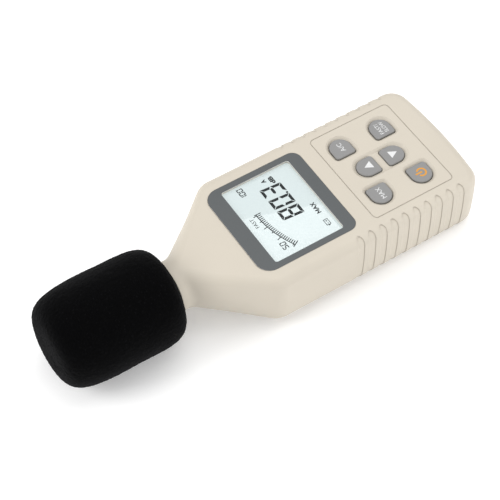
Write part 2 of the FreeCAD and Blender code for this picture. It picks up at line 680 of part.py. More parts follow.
def battery_door(outer):
    """Sliding door: plate, end lip that follows the case, side rails and thumb grooves."""
    skin = outer.cut(case_body(DOOR_THICKNESS))
    door = skin.common(block(-DOOR_HALF_WIDTH, DOOR_HALF_WIDTH, -FAR, DOOR_TOP_Y,
                             -PAST, PARTING_Z - DOOR_GAP))
    lip_y = BAY_BOTTOM_Y - BAY_WALL - 2.0 * DOOR_GAP
    door = door.cut(block(-FAR, FAR, lip_y, FAR, DOOR_THICKNESS, PARTING_Z))
    for side in (-1.0, 1.0):
        x0, x1 = sorted((side * (DOOR_HALF_WIDTH - PAST), side * RAIL_HALF_WIDTH))
        door = door.fuse(block(x0, x1, RAIL_START_Y, RAIL_END_Y, RAIL_BOTTOM_Z, RAIL_TOP_Z))
    ridges = []
    for i in range(RIDGE_COUNT):
        y = RIDGE_FIRST_Y - RIDGE_PITCH * i
        ridges.append(block(-RIDGE_HALF_LENGTH, RIDGE_HALF_LENGTH, y, y + RIDGE_WIDTH,
                            -PAST, RIDGE_DEPTH))
    return door.cut(ridges).removeSplitter()


# ---------------------------------------------------------------- display
def display_bezel():
    frame = rounded_block(BEZEL_HALF_WIDTH, BEZEL_BOTTOM_Y, BEZEL_TOP_Y, BEZEL_BOTTOM_RADIUS,
                          BEZEL_TOP_RADIUS, CASE_HEIGHT - BEZEL_THICKNESS, CASE_HEIGHT)
    return frame.cut(rounded_block(VIEW_HALF_WIDTH, VIEW_BOTTOM_Y, VIEW_TOP_Y, VIEW_RADIUS,
                                   VIEW_RADIUS, 0.0, CASE_HEIGHT + PAST))


def display_lens():
    m = LENS_SEAT_MARGIN - LENS_GAP
    return rounded_block(VIEW_HALF_WIDTH + m, VIEW_BOTTOM_Y - m, VIEW_TOP_Y + m,
                         VIEW_RADIUS + m, VIEW_RADIUS + m,
                         LENS_BOTTOM_Z, CASE_HEIGHT - BEZEL_THICKNESS)


def lcd_cell():
    """Two bonded glass plates; the rear one stands out at the contact edges."""
    rear = block(-LCD_HALF_WIDTH, LCD_HALF_WIDTH, LCD_BOTTOM_Y, LCD_TOP_Y,
                 LCD_BOTTOM_Z, LCD_BOTTOM_Z + LCD_THICKNESS / 2.0)
    front = block(-LCD_HALF_WIDTH, LCD_HALF_WIDTH, LCD_BOTTOM_Y + LCD_LEDGE,
                  LCD_TOP_Y - LCD_LEDGE, LCD_BOTTOM_Z, LCD_TOP_Z)
    return rear.fuse(front).removeSplitter()


def lcd_holder():
    """Frame that centres the display glass between lens and board."""
    top_z = CASE_HEIGHT - WALL - FIT_GAP
    g = FIT_GAP
    frame = rounded_block(HOLDER_HALF_WIDTH, LCD_BOTTOM_Y - HOLDER_RIM, LCD_TOP_Y + HOLDER_RIM,
                          HOLDER_RADIUS, HOLDER_RADIUS, BOARD_TOP_Z, top_z)
    seat = block(-LCD_HALF_WIDTH - g, LCD_HALF_WIDTH + g, LCD_BOTTOM_Y - g,
                 LCD_TOP_Y + g, LCD_BOTTOM_Z, top_z + PAST)
    window = block(-HOLDER_WINDOW_HALF_WIDTH, HOLDER_WINDOW_HALF_WIDTH, LCD_BOTTOM_Y - g,
                   LCD_TOP_Y + g, BOARD_TOP_Z - PAST, LCD_BOTTOM_Z + PAST)
    posts = [post(x, y, 0.0, CASE_HEIGHT, POST_RADIUS + POST_CLEARANCE) for x, y in POST_PLACES]
    return frame.cut([seat, window] + posts)


def zebra_strips():
    """Rubber contact strips under both edges of the display glass."""
    strips = []
    for y0 in (LCD_BOTTOM_Y + ZEBRA_INSET, LCD_TOP_Y - ZEBRA_INSET - ZEBRA_WIDTH):
        strips.append(block(-ZEBRA_HALF_LENGTH, ZEBRA_HALF_LENGTH, y0, y0 + ZEBRA_WIDTH,
                            BOARD_TOP_Z, LCD_BOTTOM_Z))
    return Part.makeCompound(strips)


def display_reflector():
    """White diffuser plate behind the display glass."""
    return block(-REFLECTOR_HALF_WIDTH, REFLECTOR_HALF_WIDTH, LCD_BOTTOM_Y + REFLECTOR_INSET,
                 LCD_TOP_Y - REFLECTOR_INSET, BOARD_TOP_Z, LCD_BOTTOM_Z - FIT_GAP)


# ---------------------------------------------------------------- keypad under the keys
def keypad_mat():
    """Silicone sheet with a dome and a hollow under each key."""
    top = BOARD_TOP_Z + MAT_THICKNESS
    mat = rounded_block(MAT_HALF_WIDTH, MAT_BOTTOM_Y, MAT_TOP_Y, MAT_RADIUS, MAT_RADIUS,
                        BOARD_TOP_Z, top)
    for x, y, _, _, _ in KEYS.values():
        dome = Part.makeCone(DOME_RADIUS, DOME_RADIUS - DOME_TAPER, DOME_HEIGHT, V(x, y, top))
        hollow = post(x, y, BOARD_TOP_Z - PAST, top - DOME_ROOF, DOME_RADIUS - DOME_WALL)
        mat = mat.fuse(dome).cut(hollow)
    return mat.removeSplitter()


def contact_pills():
    """Carbon pills on the roof of each hollow."""
    roof = BOARD_TOP_Z + MAT_THICKNESS - DOME_ROOF
    return Part.makeCompound([post(x, y, roof - PILL_THICKNESS, roof, PILL_RADIUS)
                              for x, y, _, _, _ in KEYS.values()])


# ---------------------------------------------------------------- boards
def main_board():
    board = rounded_block(BOARD_HALF_WIDTH, BOARD_BOTTOM_Y, BOARD_TOP_Y, BOARD_BOTTOM_RADIUS,
                          BOARD_TOP_RADIUS, BOARD_BOTTOM_Z, BOARD_TOP_Z)
    holes = [post(x, y, 0.0, CASE_HEIGHT, BOARD_SCREW_RADIUS + BOARD_HOLE_CLEARANCE)
             for x, y in POST_PLACES]
    holes += [post(x, y, 0.0, CASE_HEIGHT, BOSS_RADIUS + BOSS_CLEARANCE)
              for x, y in SCREW_PLACES]
    return board.cut(holes)


def lead_bar(x, y, half_x, half_y):
    """Flat lead that lies on the rear of the board."""
    return block(x - half_x, x + half_x, y - half_y, y + half_y,
                 BOARD_BOTTOM_Z - LEAD_HEIGHT, BOARD_BOTTOM_Z)


def chip_body(x, y, half_x, half_y):
    return block(x - half_x, x + half_x, y - half_y, y + half_y,
                 BOARD_BOTTOM_Z - CHIP_HEIGHT, BOARD_BOTTOM_Z - CHIP_STANDOFF)


def controller_chip():
    """Flat chip with leads on four sides, on the rear of the board."""
    x, y = CONTROLLER_PLACE
    half = CONTROLLER_HALF_WIDTH
    reach = half + CONTROLLER_LEAD_REACH
    leads = []
    for i in range(CONTROLLER_LEADS):
        along = CONTROLLER_LEAD_PITCH * (i - (CONTROLLER_LEADS - 1) / 2.0)
        leads.append(lead_bar(x + along, y, LEAD_HALF_WIDTH, reach))
        leads.append(lead_bar(x, y + along, reach, LEAD_HALF_WIDTH))
    return chip_body(x, y, half, half).fuse(leads)


def amplifier_chips():
    """Three eight-pin amplifiers in the measuring chain."""
    chips = []
    reach = AMPLIFIER_HALF_LENGTH + AMPLIFIER_LEAD_REACH
    for x in AMPLIFIER_X:
        leads = [lead_bar(x + along, AMPLIFIER_Y, LEAD_HALF_WIDTH, reach)
                 for along in AMPLIFIER_LEAD_X]
        body = chip_body(x, AMPLIFIER_Y, AMPLIFIER_HALF_WIDTH, AMPLIFIER_HALF_LENGTH)
        chips.append(body.fuse(leads))
    return Part.makeCompound(chips)


def capacitors():
    """Four upright electrolytic capacitors."""
    return Part.makeCompound([post(x, y, BOARD_BOTTOM_Z - CAPACITOR_HEIGHT, BOARD_BOTTOM_Z,
                                   CAPACITOR_RADIUS) for x, y in CAPACITOR_PLACES])


def level_trimmer():
    """Calibration trimmer: a small square body with a slotted rotor."""
    x, y = TRIMMER_PLACE
    half = TRIMMER_HALF_WIDTH
    face_z = BOARD_BOTTOM_Z - TRIMMER_HEIGHT
    rotor_z = face_z - ROTOR_HEIGHT
    body = block(x - half, x + half, y - half, y + half, face_z, BOARD_BOTTOM_Z)
    slot = block(x - ROTOR_RADIUS, x + ROTOR_RADIUS, y - ROTOR_SLOT / 2.0,
                 y + ROTOR_SLOT / 2.0, rotor_z - PAST, rotor_z + ROTOR_HEIGHT / 2.0)
    return body.fuse(post(x, y, rotor_z, face_z, ROTOR_RADIUS)).cut(slot)


def cross_slot(x, y, z, reach, depth):
    """Cross recess cut up into a screw head whose face is at z."""
    half = CROSS_SLOT / 2.0
    return block(x - reach, x + reach, y - half, y + half, z - PAST, z + depth).fuse(
        block(x - half, x + half, y - reach, y + reach, z - PAST, z + depth))


def board_screws():
    screws = []
    face_z = BOARD_BOTTOM_Z - BOARD_SCREW_HEAD_HEIGHT
    for x, y in POST_PLACES:
        head = post(x, y, face_z, BOARD_BOTTOM_Z, BOARD_SCREW_HEAD_RADIUS)
        head = head.cut(cross_slot(x, y, face_z, BOARD_SCREW_HEAD_RADIUS - CROSS_SLOT,
                                   BOARD_SCREW_HEAD_HEIGHT / 2.0))
        screws.append(head.fuse(post(x, y, BOARD_BOTTOM_Z, BOARD_TOP_Z + BOARD_SCREW_LENGTH,
                                     BOARD_SCREW_RADIUS)))
    return Part.makeCompound(screws)


def case_screws():
    """Four identical self-tapping screws that close the case from the back."""
    screws = []
    for x, y in SCREW_PLACES:
        head = post(x, y, SCREW_HEAD_BOTTOM_Z, SCREW_HEAD_TOP_Z, SCREW_HEAD_RADIUS)
        head = fillet_where(head, SCREW_HEAD_ROUND, lambda e: all_at(e, "z", SCREW_HEAD_BOTTOM_Z))
        head = head.cut(cross_slot(x, y, SCREW_HEAD_BOTTOM_Z, SCREW_SLOT_REACH, SCREW_SLOT_DEPTH))
        screws.append(head.fuse(post(x, y, SCREW_HEAD_TOP_Z, SCREW_TIP_Z, SCREW_RADIUS)))
    return Part.makeCompound(screws)


def tripod_insert():
    """Brass insert for a camera tripod screw, flush with the back face."""
    body = post(0.0, 0.0, 0.0, INSERT_LENGTH, INSERT_RADIUS)
    return body.cut(post(0.0, 0.0, -PAST, SOCKET_DEPTH, SOCKET_RADIUS))


# ---------------------------------------------------------------- battery
def battery():
    """Nine-volt block battery."""
    body = block(-BATTERY_HALF_WIDTH, BATTERY_HALF_WIDTH, BATTERY_BOTTOM_Y, BATTERY_TOP_Y,
                 BATTERY_BOTTOM_Z, BATTERY_BOTTOM_Z + BATTERY_THICKNESS)
    return fillet_where(body, BATTERY_EDGE,
                        lambda e: abs(ends_of(e)[0].y - ends_of(e)[1].y) > BATTERY_EDGE)


def snap_rods(y0, y1, clearance):
    """Round and flared snap, or the holes for them where clearance is above 0."""
    return [rod(-SNAP_OFFSET_X, BATTERY_MIDDLE_Z, y0, y1, ROUND_SNAP_RADIUS + clearance),
            rod(SNAP_OFFSET_X, BATTERY_MIDDLE_Z, y0, y1, FLARED_SNAP_RADIUS + clearance)]


def battery_terminals():
    """Round and flared snaps on the battery's end."""
    return Part.makeCompound(snap_rods(BATTERY_TOP_Y, BATTERY_TOP_Y + SNAP_HEIGHT, 0.0))


def battery_snap():
    """Connector that presses on to the battery's snaps."""
    half_width, half_height = SNAP_PLATE_HALF_WIDTH, SNAP_PLATE_HALF_HEIGHT
    plate = block(-half_width, half_width, BATTERY_TOP_Y + SNAP_PLATE_START,
                  BATTERY_TOP_Y + SNAP_PLATE_END, BATTERY_MIDDLE_Z - half_height,
                  BATTERY_MIDDLE_Z + half_height)
    return plate.cut(snap_rods(BATTERY_TOP_Y - PAST, BATTERY_TOP_Y + SNAP_HEIGHT + FIT_GAP,
                               FIT_GAP))


def swept_tube(points, bend, radius):
    """Round tube along straight runs joined by tangent arcs of one radius."""
    edges = []
    here = points[0]
    for a, b, c in zip(points, points[1:], points[2:]):
        u = (b - a).normalize()
        w = (c - b).normalize()
        turn = u.getAngle(w)
        reach = bend * math.tan(turn / 2.0)
        start, end = b - u * reach, b + w * reach
        centre = b + (w - u).normalize() * (bend / math.cos(turn / 2.0))
        middle = centre + (b - centre).normalize() * bend
        edges += [line(here, start), arc(start, middle, end)]
        here = end
    edges.append(line(here, points[-1]))
    section = Part.Wire([Part.Circle(points[0], points[1] - points[0], radius).toShape()])
    return Part.Wire(edges).makePipeShell([section], True, False)


def battery_leads():
    """Two insulated wires from the snap connector through the bay wall to the board."""
    y = BATTERY_TOP_Y + SNAP_PLATE_END
    leads = []
    for x in (-LEAD_X, LEAD_X):
        leads.append(swept_tube([V(x, y, LEAD_Z), V(x, LEAD_RISE_Y, LEAD_Z),
                                 V(x, LEAD_RISE_Y, BOARD_BOTTOM_Z)], LEAD_BEND, LEAD_RADIUS))
    return Part.makeCompound(leads)


def battery_pad():
    """Thin foam pad on the door that steadies the battery."""
    return block(-PAD_HALF_WIDTH, PAD_HALF_WIDTH, PAD_START_Y, PAD_END_Y,
                 DOOR_THICKNESS, DOOR_THICKNESS + PAD_THICKNESS)


# ---------------------------------------------------------------- microphone
def microphone_barrel():
    return rod(0.0, MIC_Z, BARREL_START_Y, BARREL_END_Y, BARREL_RADIUS).cut(
        rod(0.0, MIC_Z, BARREL_START_Y - PAST, BARREL_END_Y + PAST, BARREL_BORE))


def microphone_capsule():
    """Electret capsule with its rear contact."""
    body = rod(0.0, MIC_Z, CAPSULE_START_Y, BARREL_END_Y - CAPSULE_SETBACK, CAPSULE_RADIUS)
    return body.fuse(rod(0.0, MIC_Z, CAPSULE_START_Y - CAPSULE_CONTACT_LENGTH, CAPSULE_START_Y,
                         CAPSULE_CONTACT_RADIUS))


def microphone_grid():
    """Protective cap with rings of sound holes."""
    cap = rod(0.0, MIC_Z, BARREL_END_Y, GRID_END_Y, BARREL_RADIUS)
    cap = fillet_where(cap, GRID_EDGE, lambda e: all_at(e, "y", GRID_END_Y))
    cap = cap.cut(rod(0.0, MIC_Z, BARREL_END_Y - PAST, GRID_END_Y - GRID_THICKNESS, GRID_BORE))
    holes = [rod(0.0, MIC_Z, BARREL_END_Y, GRID_END_Y + PAST, GRID_HOLE_RADIUS)]
    for ring_radius, count in GRID_RINGS:
        for i in range(count):
            a = 2.0 * math.pi * i / count
            holes.append(rod(ring_radius * math.cos(a), MIC_Z + ring_radius * math.sin(a),
                             BARREL_END_Y, GRID_END_Y + PAST, GRID_HOLE_RADIUS))
    return cap.cut(holes)


def microphone_seal():
    """Rubber ring that holds the barrel in the neck."""
    y1 = NECK_END_Y - WALL - FIT_GAP
    y0 = y1 - SEAL_LENGTH
    return rod(0.0, MIC_Z, y0, y1, NECK_RADIUS - WALL - FIT_GAP).cut(
        rod(0.0, MIC_Z, y0 - PAST, y1 + PAST, BARREL_RADIUS))


def preamplifier_board():
    """Narrow board whose front end sits inside the barrel."""
    return block(-PREAMP_HALF_WIDTH, PREAMP_HALF_WIDTH, PREAMP_START_Y, PREAMP_END_Y,
                 MIC_Z - PREAMP_HALF_THICKNESS, MIC_Z + PREAMP_HALF_THICKNESS)


def microphone_lead():
    """Screened wire from the preamplifier to the main board."""
    return swept_tube([V(0, PREAMP_START_Y, MIC_Z), V(0, SCREENED_LEAD_Y, MIC_Z),
                       V(0, SCREENED_LEAD_Y, BOARD_BOTTOM_Z)],
                      SCREENED_LEAD_BEND, SCREENED_LEAD_RADIUS)


def foam_profile(low_y, high_y, middle_y, radius, steps):
    """Points of the windscreen's outline from end to end: a superellipse for each half."""
    points = []
    for reach, sign in ((middle_y - low_y, -1.0), (high_y - middle_y, 1.0)):
        half = []
        for i in range(1, steps + 1):
            a = math.pi / 2.0 * i / steps
            along = math.sin(a) ** (2.0 / FOAM_FULLNESS_ALONG)
            out = math.cos(a) ** (2.0 / FOAM_FULLNESS_ROUND) if i < steps else 0.0
            half.append(V(radius * out, middle_y + sign * reach * along, 0))
        points += half[::-1] + [V(radius, middle_y, 0)] if sign < 0 else half
    return points


def windscreen():
    """Foam windscreen: a full barrel with flattened ends, bored for the microphone."""
    curve = Part.BSplineCurve()
    curve.interpolate(foam_profile(FOAM_START_Y, FOAM_END_Y, FOAM_MIDDLE_Y, FOAM_RADIUS,
                                   FOAM_PROFILE_STEPS))
    profile = Part.Wire([curve.toShape(), line(V(0, FOAM_END_Y, 0), V(0, FOAM_START_Y, 0))])
    foam = Part.Face(profile).revolve(V(0, 0, 0), V(0, 1, 0), 360)
    foam.translate(V(0, 0, MIC_Z))
    return foam.cut(rod(0.0, MIC_Z, FOAM_START_Y - PAST, FOAM_BORE_END_Y, FOAM_BORE_RADIUS))


# ---------------------------------------------------------------- the whole meter
def build():
    outer = case_body(0.0)
    inner = case_body(WALL)
    nodes = {
        "front_shell": front_shell(outer, inner),
        "rear_shell": rear_shell(outer, inner),
        "battery_door": battery_door(outer),
        "battery_pad": battery_pad(),
        "display_bezel": display_bezel(),
        "display_lens": display_lens(),
        "lcd_cell": lcd_cell(),
        "lcd_holder": lcd_holder(),
        "zebra_strips": zebra_strips(),
        "display_reflector": display_reflector(),
        "keypad_mat": keypad_mat(),
        "contact_pills": contact_pills(),
        "main_board": main_board(),
        "controller_chip": controller_chip(),
        "amplifier_chips": amplifier_chips(),
        "capacitors": capacitors(),
        "level_trimmer": level_trimmer(),
        "board_screws": board_screws(),
        "case_screws": case_screws(),
        "tripod_insert": tripod_insert(),
        "battery": battery(),
        "battery_terminals": battery_terminals(),
        "battery_snap": battery_snap(),
        "battery_leads": battery_leads(),
        "microphone_barrel": microphone_barrel(),
        "microphone_capsule": microphone_capsule(),
        "microphone_grid": microphone_grid(),
        "microphone_seal": microphone_seal(),
        "preamplifier_board": preamplifier_board(),
        "microphone_lead": microphone_lead(),
        "windscreen": windscreen(),
    }
    for name in KEYS:
        nodes[name] = key_cap(name)
    return nodes


if __name__ == "__main__":
    os.makedirs("parts", exist_ok=True)
    for name, shape in build().items():
        shape.exportStep("parts/%s.step" % name)
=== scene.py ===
"""Looks of the hand-held sound level meter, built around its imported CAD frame."""
import bpy
import bmesh
import math
from mathutils import Matrix, Vector, noise


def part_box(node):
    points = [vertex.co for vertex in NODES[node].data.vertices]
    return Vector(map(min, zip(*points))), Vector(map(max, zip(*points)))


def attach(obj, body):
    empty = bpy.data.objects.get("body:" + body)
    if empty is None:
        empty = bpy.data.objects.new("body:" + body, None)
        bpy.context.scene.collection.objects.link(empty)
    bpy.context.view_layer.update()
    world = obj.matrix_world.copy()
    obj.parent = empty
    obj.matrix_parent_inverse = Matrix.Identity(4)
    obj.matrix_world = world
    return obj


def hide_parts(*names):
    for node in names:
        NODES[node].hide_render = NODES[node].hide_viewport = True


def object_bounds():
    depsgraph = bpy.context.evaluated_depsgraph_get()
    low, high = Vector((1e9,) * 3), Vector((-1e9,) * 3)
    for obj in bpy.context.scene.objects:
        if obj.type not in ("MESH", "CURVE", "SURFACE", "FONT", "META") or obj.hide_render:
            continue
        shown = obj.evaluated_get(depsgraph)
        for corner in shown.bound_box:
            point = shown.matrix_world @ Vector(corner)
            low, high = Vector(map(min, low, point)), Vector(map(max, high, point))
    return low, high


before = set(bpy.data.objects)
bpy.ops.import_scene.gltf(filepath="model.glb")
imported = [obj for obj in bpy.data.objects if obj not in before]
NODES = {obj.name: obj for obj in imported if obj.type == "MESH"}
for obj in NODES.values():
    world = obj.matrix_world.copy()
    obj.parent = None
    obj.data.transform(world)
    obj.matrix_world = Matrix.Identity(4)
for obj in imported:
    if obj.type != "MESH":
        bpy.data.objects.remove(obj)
cad_low, cad_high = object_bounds()
MM = 0.001

# ---------------------------------------------------------------- camera, floor and light
CAMERA_PLACE = (-0.35889, 0.26457, 0.60187)
VIEW_DIRECTION = (0.4914, -0.3264, -0.8075)
CAMERA_ROLL = 0.85            # degrees
LENS_MM = 115.9
FLOOR_REACH = 3.0
FLOOR_PAST_END = 0.001        # the floor falls away this far past the keypad end,
FLOOR_FALL = 0.08             # so that the battery door can slide out above it
STEEPEST_SLOPE = 0.2          # bounds of the search for the floor's own slope
SLOPE_HALVINGS = 40
FLOOR_GLOW = 0.16             # lit from below, as a light table
FLOOR_COLOUR = (0.965, 0.965, 0.965)
WORLD_STRENGTH = 0.70
KEY_PLACE = (0.40, 1.15, 0.80)    # softbox beyond the windscreen
KEY_SIZE = (0.7, 0.7)
KEY_POWER = 9.3
FILL_PLACE = (-0.95, -0.85, 0.38) # low softbox on the near side, towards the keypad end
FILL_SIZE = (0.8, 0.5)
FILL_POWER = 5.0
CARD_PLACE = (0.130, -0.36, 1.0)  # overhead softbox; its far edge shows in the display
CARD_SIZE = (0.95, 0.95)
CARD_TURN = -18.4
CARD_POWER = 3.85


def make_camera():
    data = bpy.data.cameras.new("camera")
    data.lens = LENS_MM
    data.clip_start = 0.01
    data.clip_end = 20.0
    camera = bpy.data.objects.new("camera", data)
    bpy.context.scene.collection.objects.link(camera)
    turn = Vector(VIEW_DIRECTION).to_track_quat("-Z", "Y").to_matrix().to_4x4()
    roll = Matrix.Rotation(math.radians(CAMERA_ROLL), 4, "Z")
    camera.matrix_world = Matrix.Translation(CAMERA_PLACE) @ turn @ roll
    bpy.context.scene.camera = camera


def resting_plane():
    """Height at y = 0 and slope along y of the table that touches windscreen and case."""
    foam = [v.co for v in NODES["windscreen"].data.vertices]
    case = [v.co for name in ("rear_shell", "battery_door") for v in NODES[name].data.vertices]
    low, high = -STEEPEST_SLOPE, STEEPEST_SLOPE
    for _ in range(SLOPE_HALVINGS):
        slope = (low + high) / 2.0
        under_foam = min(p.z - slope * p.y for p in foam)
        under_case = min(p.z - slope * p.y for p in case)
        if under_foam < under_case:
            high = slope
        else:
            low = slope
    return min(under_foam, under_case), slope


def make_floor():
    """Pale paper under the meter, touching the windscreen and the keypad end."""
    height, slope = resting_plane()
    r = FLOOR_REACH
    bend_y = cad_low.y - FLOOR_PAST_END
    bend_z = height + slope * bend_y
    rows = [(-r, bend_z - FLOOR_FALL * r), (bend_y, bend_z), (r, height + slope * r)]
    mesh = bpy.data.meshes.new("floor")
    mesh.from_pydata([(x, y, z) for y, z in rows for x in (-r, r)], [],
                     [(0, 1, 3, 2), (2, 3, 5, 4)])
    floor = bpy.data.objects.new("floor", mesh)
    bpy.context.scene.collection.objects.link(floor)
    paint = Paint("floor_paper", roughness=0.9, glow=FLOOR_GLOW)
    paint.shader.inputs["Emission Color"].default_value = (1.0, 1.0, 1.0, 1.0)
    paint.set_colour(paint.two_tone(FLOOR_COLOUR, 0.005, 40.0))
    mesh.materials.append(paint.material)


def area_light(name, place, direction, turn, size, power):
    data = bpy.data.lights.new(name, "AREA")
    data.shape = "RECTANGLE"
    data.size, data.size_y = size
    data.energy = power
    light = bpy.data.objects.new(name, data)
    aim = Vector(direction).to_track_quat("-Z", "Y").to_matrix().to_4x4()
    spin = Matrix.Rotation(math.radians(turn), 4, "Z")
    light.matrix_world = Matrix.Translation(place) @ aim @ spin
    bpy.context.scene.collection.objects.link(light)


def make_light():
    """White dome, two softboxes from the sides and one overhead."""
    world = bpy.data.worlds.new("studio")
    world.use_nodes = True
    background = world.node_tree.nodes["Background"]
    background.inputs["Color"].default_value = (1.0, 1.0, 1.0, 1.0)
    background.inputs["Strength"].default_value = WORLD_STRENGTH
    bpy.context.scene.world = world
    area_light("key", KEY_PLACE, -Vector(KEY_PLACE), 0.0, KEY_SIZE, KEY_POWER)
    area_light("fill", FILL_PLACE, -Vector(FILL_PLACE), 0.0, FILL_SIZE, FILL_POWER)
    area_light("card", CARD_PLACE, (0.0, 0.0, -1.0), CARD_TURN, CARD_SIZE, CARD_POWER)


# ---------------------------------------------------------------- materials
SOCKETS = {
    "roughness": "Roughness", "metallic": "Metallic", "alpha": "Alpha", "ior": "IOR",
    "coat": "Coat Weight", "coat_roughness": "Coat Roughness", "sheen": "Sheen Weight",
    "sheen_roughness": "Sheen Roughness", "sheen_tint": "Sheen Tint",
    "specular": "Specular IOR Level", "coat_ior": "Coat IOR", "glow": "Emission Strength",
}
BEVEL_RAYS = 6
SHARP_EDGE = 0.85             # likeness of true and rounded normal on a full edge


def shade(colour, factor):
    return tuple(min(1.0, c * factor) for c in colour)


class Paint:
    """A node material round one Principled shader, with short calls that add nodes to it."""

    def __init__(self, name, **uniform):
        self.material = bpy.data.materials.new(name)
        self.material.use_nodes = True
        self.tree = self.material.node_tree
        self.shader = self.tree.nodes["Principled BSDF"]
        for key, value in uniform.items():
            self.shader.inputs[SOCKETS[key]].default_value = value
        self.place = self.add("ShaderNodeTexCoord").outputs["Object"]

    def add(self, kind, inputs=None, **settings):
        node = self.tree.nodes.new(kind)
        for key, value in settings.items():
            setattr(node, key, value)
        for key, value in (inputs or {}).items():
            if isinstance(value, bpy.types.NodeSocket):
                self.tree.links.new(value, node.inputs[key])
            else:
                node.inputs[key].default_value = value
        return node

    def noise(self, scale, detail=2.0, roughness=0.5):
        return self.add("ShaderNodeTexNoise", {
            "Vector": self.place, "Scale": scale, "Detail": detail, "Roughness": roughness,
        }).outputs["Fac"]

    def cells(self, scale):
        """Distance to the middle of the nearest of many small cells."""
        return self.add("ShaderNodeTexVoronoi", {
            "Vector": self.place, "Scale": scale}).outputs["Distance"]

    def axis(self, name):
        """Height of the surface point along X, Y or Z, in metres."""
        return self.add("ShaderNodeSeparateXYZ", {"Vector": self.place}).outputs[name]

    def maths(self, operation, first, second=0.0):
        return self.add("ShaderNodeMath", {0: first, 1: second},
                        operation=operation).outputs[0]

    def spread(self, value, low, high, to_low, to_high):
        return self.add("ShaderNodeMapRange", {
            "Value": value, "From Min": low, "From Max": high,
            "To Min": to_low, "To Max": to_high,
        }).outputs["Result"]

    def ramp(self, value, stops):
        node = self.add("ShaderNodeValToRGB", {"Fac": value})
        elements = node.color_ramp.elements
        while len(elements) < len(stops):
            elements.new(0.5)
        for element, (position, colour) in zip(elements, stops):
            element.position = position
            element.color = (*colour, 1.0)
        return node.outputs["Color"]

    def two_tone(self, colour, variation, scale, detail=3.0):
        """Colour that drifts a little lighter and darker over the surface."""
        return self.ramp(self.noise(scale, detail), [
            (0.3, shade(colour, 1.0 - variation)), (0.7, shade(colour, 1.0 + variation))])

    def blend(self, share, first, second):
        node = self.add("ShaderNodeMix", {"Factor": share}, data_type="RGBA")
        for key, value in ((6, first), (7, second)):
            if isinstance(value, bpy.types.NodeSocket):
                self.tree.links.new(value, node.inputs[key])
            else:
                node.inputs[key].default_value = (*value, 1.0)
        return node.outputs[2]

    def edges(self, radius):
        """Rounded normal, and a mask that is 1 on edges sharper than radius."""
        soft = self.add("ShaderNodeBevel", {"Radius": radius}, samples=BEVEL_RAYS).outputs["Normal"]
        true = self.add("ShaderNodeNewGeometry").outputs["Normal"]
        likeness = self.add("ShaderNodeVectorMath", {0: soft, 1: true},
                            operation="DOT_PRODUCT").outputs["Value"]
        return soft, self.spread(likeness, 1.0, SHARP_EDGE, 0.0, 1.0)

    def set_colour(self, socket):
        self.tree.links.new(socket, self.shader.inputs["Base Color"])

    def set_roughness(self, socket, low, high):
        self.tree.links.new(self.spread(socket, 0.25, 0.75, low, high),
                            self.shader.inputs["Roughness"])

    def set_metallic(self, socket):
        self.tree.links.new(socket, self.shader.inputs["Metallic"])

    def set_bump(self, height, depth, strength=1.0, normal=None):
        inputs = {"Height": height, "Distance": depth, "Strength": strength}
        if normal is not None:
            inputs["Normal"] = normal
        bump = self.add("ShaderNodeBump", inputs).outputs["Normal"]
        self.tree.links.new(bump, self.shader.inputs["Normal"])


def moulded(name, colour, roughness, grain_mm=0.35, depth_mm=0.02, variation=0.02,
            edge_mm=0.0, edge_highlight=1.06, **uniform):
    """Moulded plastic or rubber: spark-eroded grain, faint drift of tone, softened edges painted a
    shade lighter as a painted highlight.
    """
    paint = Paint(name, **uniform)
    tone = paint.two_tone(colour, variation, 35.0)
    grain = paint.noise(1.0 / (grain_mm * MM), 3.0, 0.6)
    normal = None
    if edge_mm > 0.0:
        normal, mask = paint.edges(edge_mm * MM)
        # sharp edges blended halfway to a lighter shade: painted highlight along the edges
        tone = paint.blend(paint.maths("MULTIPLY", mask, 0.5), tone, shade(colour, edge_highlight))
    paint.set_colour(tone)
    paint.set_roughness(grain, roughness - 0.06, roughness + 0.06)
    paint.set_bump(grain, depth_mm * MM, 1.0, normal)
    return paint.material


def metal(name, colour, roughness, brush_mm=0.4, stretch=(1.0, 1.0, 1.0)):
    """Turned or rolled metal: fine brush marks and stains of another roughness."""
    paint = Paint(name, metallic=1.0)
    paint.set_colour(paint.two_tone(colour, 0.06, 220.0))
    stretched = paint.add("ShaderNodeMapping", {"Vector": paint.place, "Scale": stretch})
    paint.place = stretched.outputs["Vector"]
    brush = paint.noise(1.0 / (brush_mm * MM), 2.0)
    paint.set_roughness(brush, roughness - 0.08, roughness + 0.1)
    paint.set_bump(brush, 0.01 * MM)
    return paint.material


CREAM = (0.590, 0.539, 0.455)
DISPLAY_GREY = (0.084, 0.092, 0.095)
# light colour of the bezel's walls below its face: painted highlight on the window's inner walls
BEZEL_WALL_PAINTED_LIGHT = (0.62, 0.60, 0.58)
BEZEL_GREY_DEPTH = 0.04 * MM       # how far down from the face the grey reaches
KEY_GREY = (0.254, 0.252, 0.250)
LCD_TINT = (0.21, 0.238, 0.239)
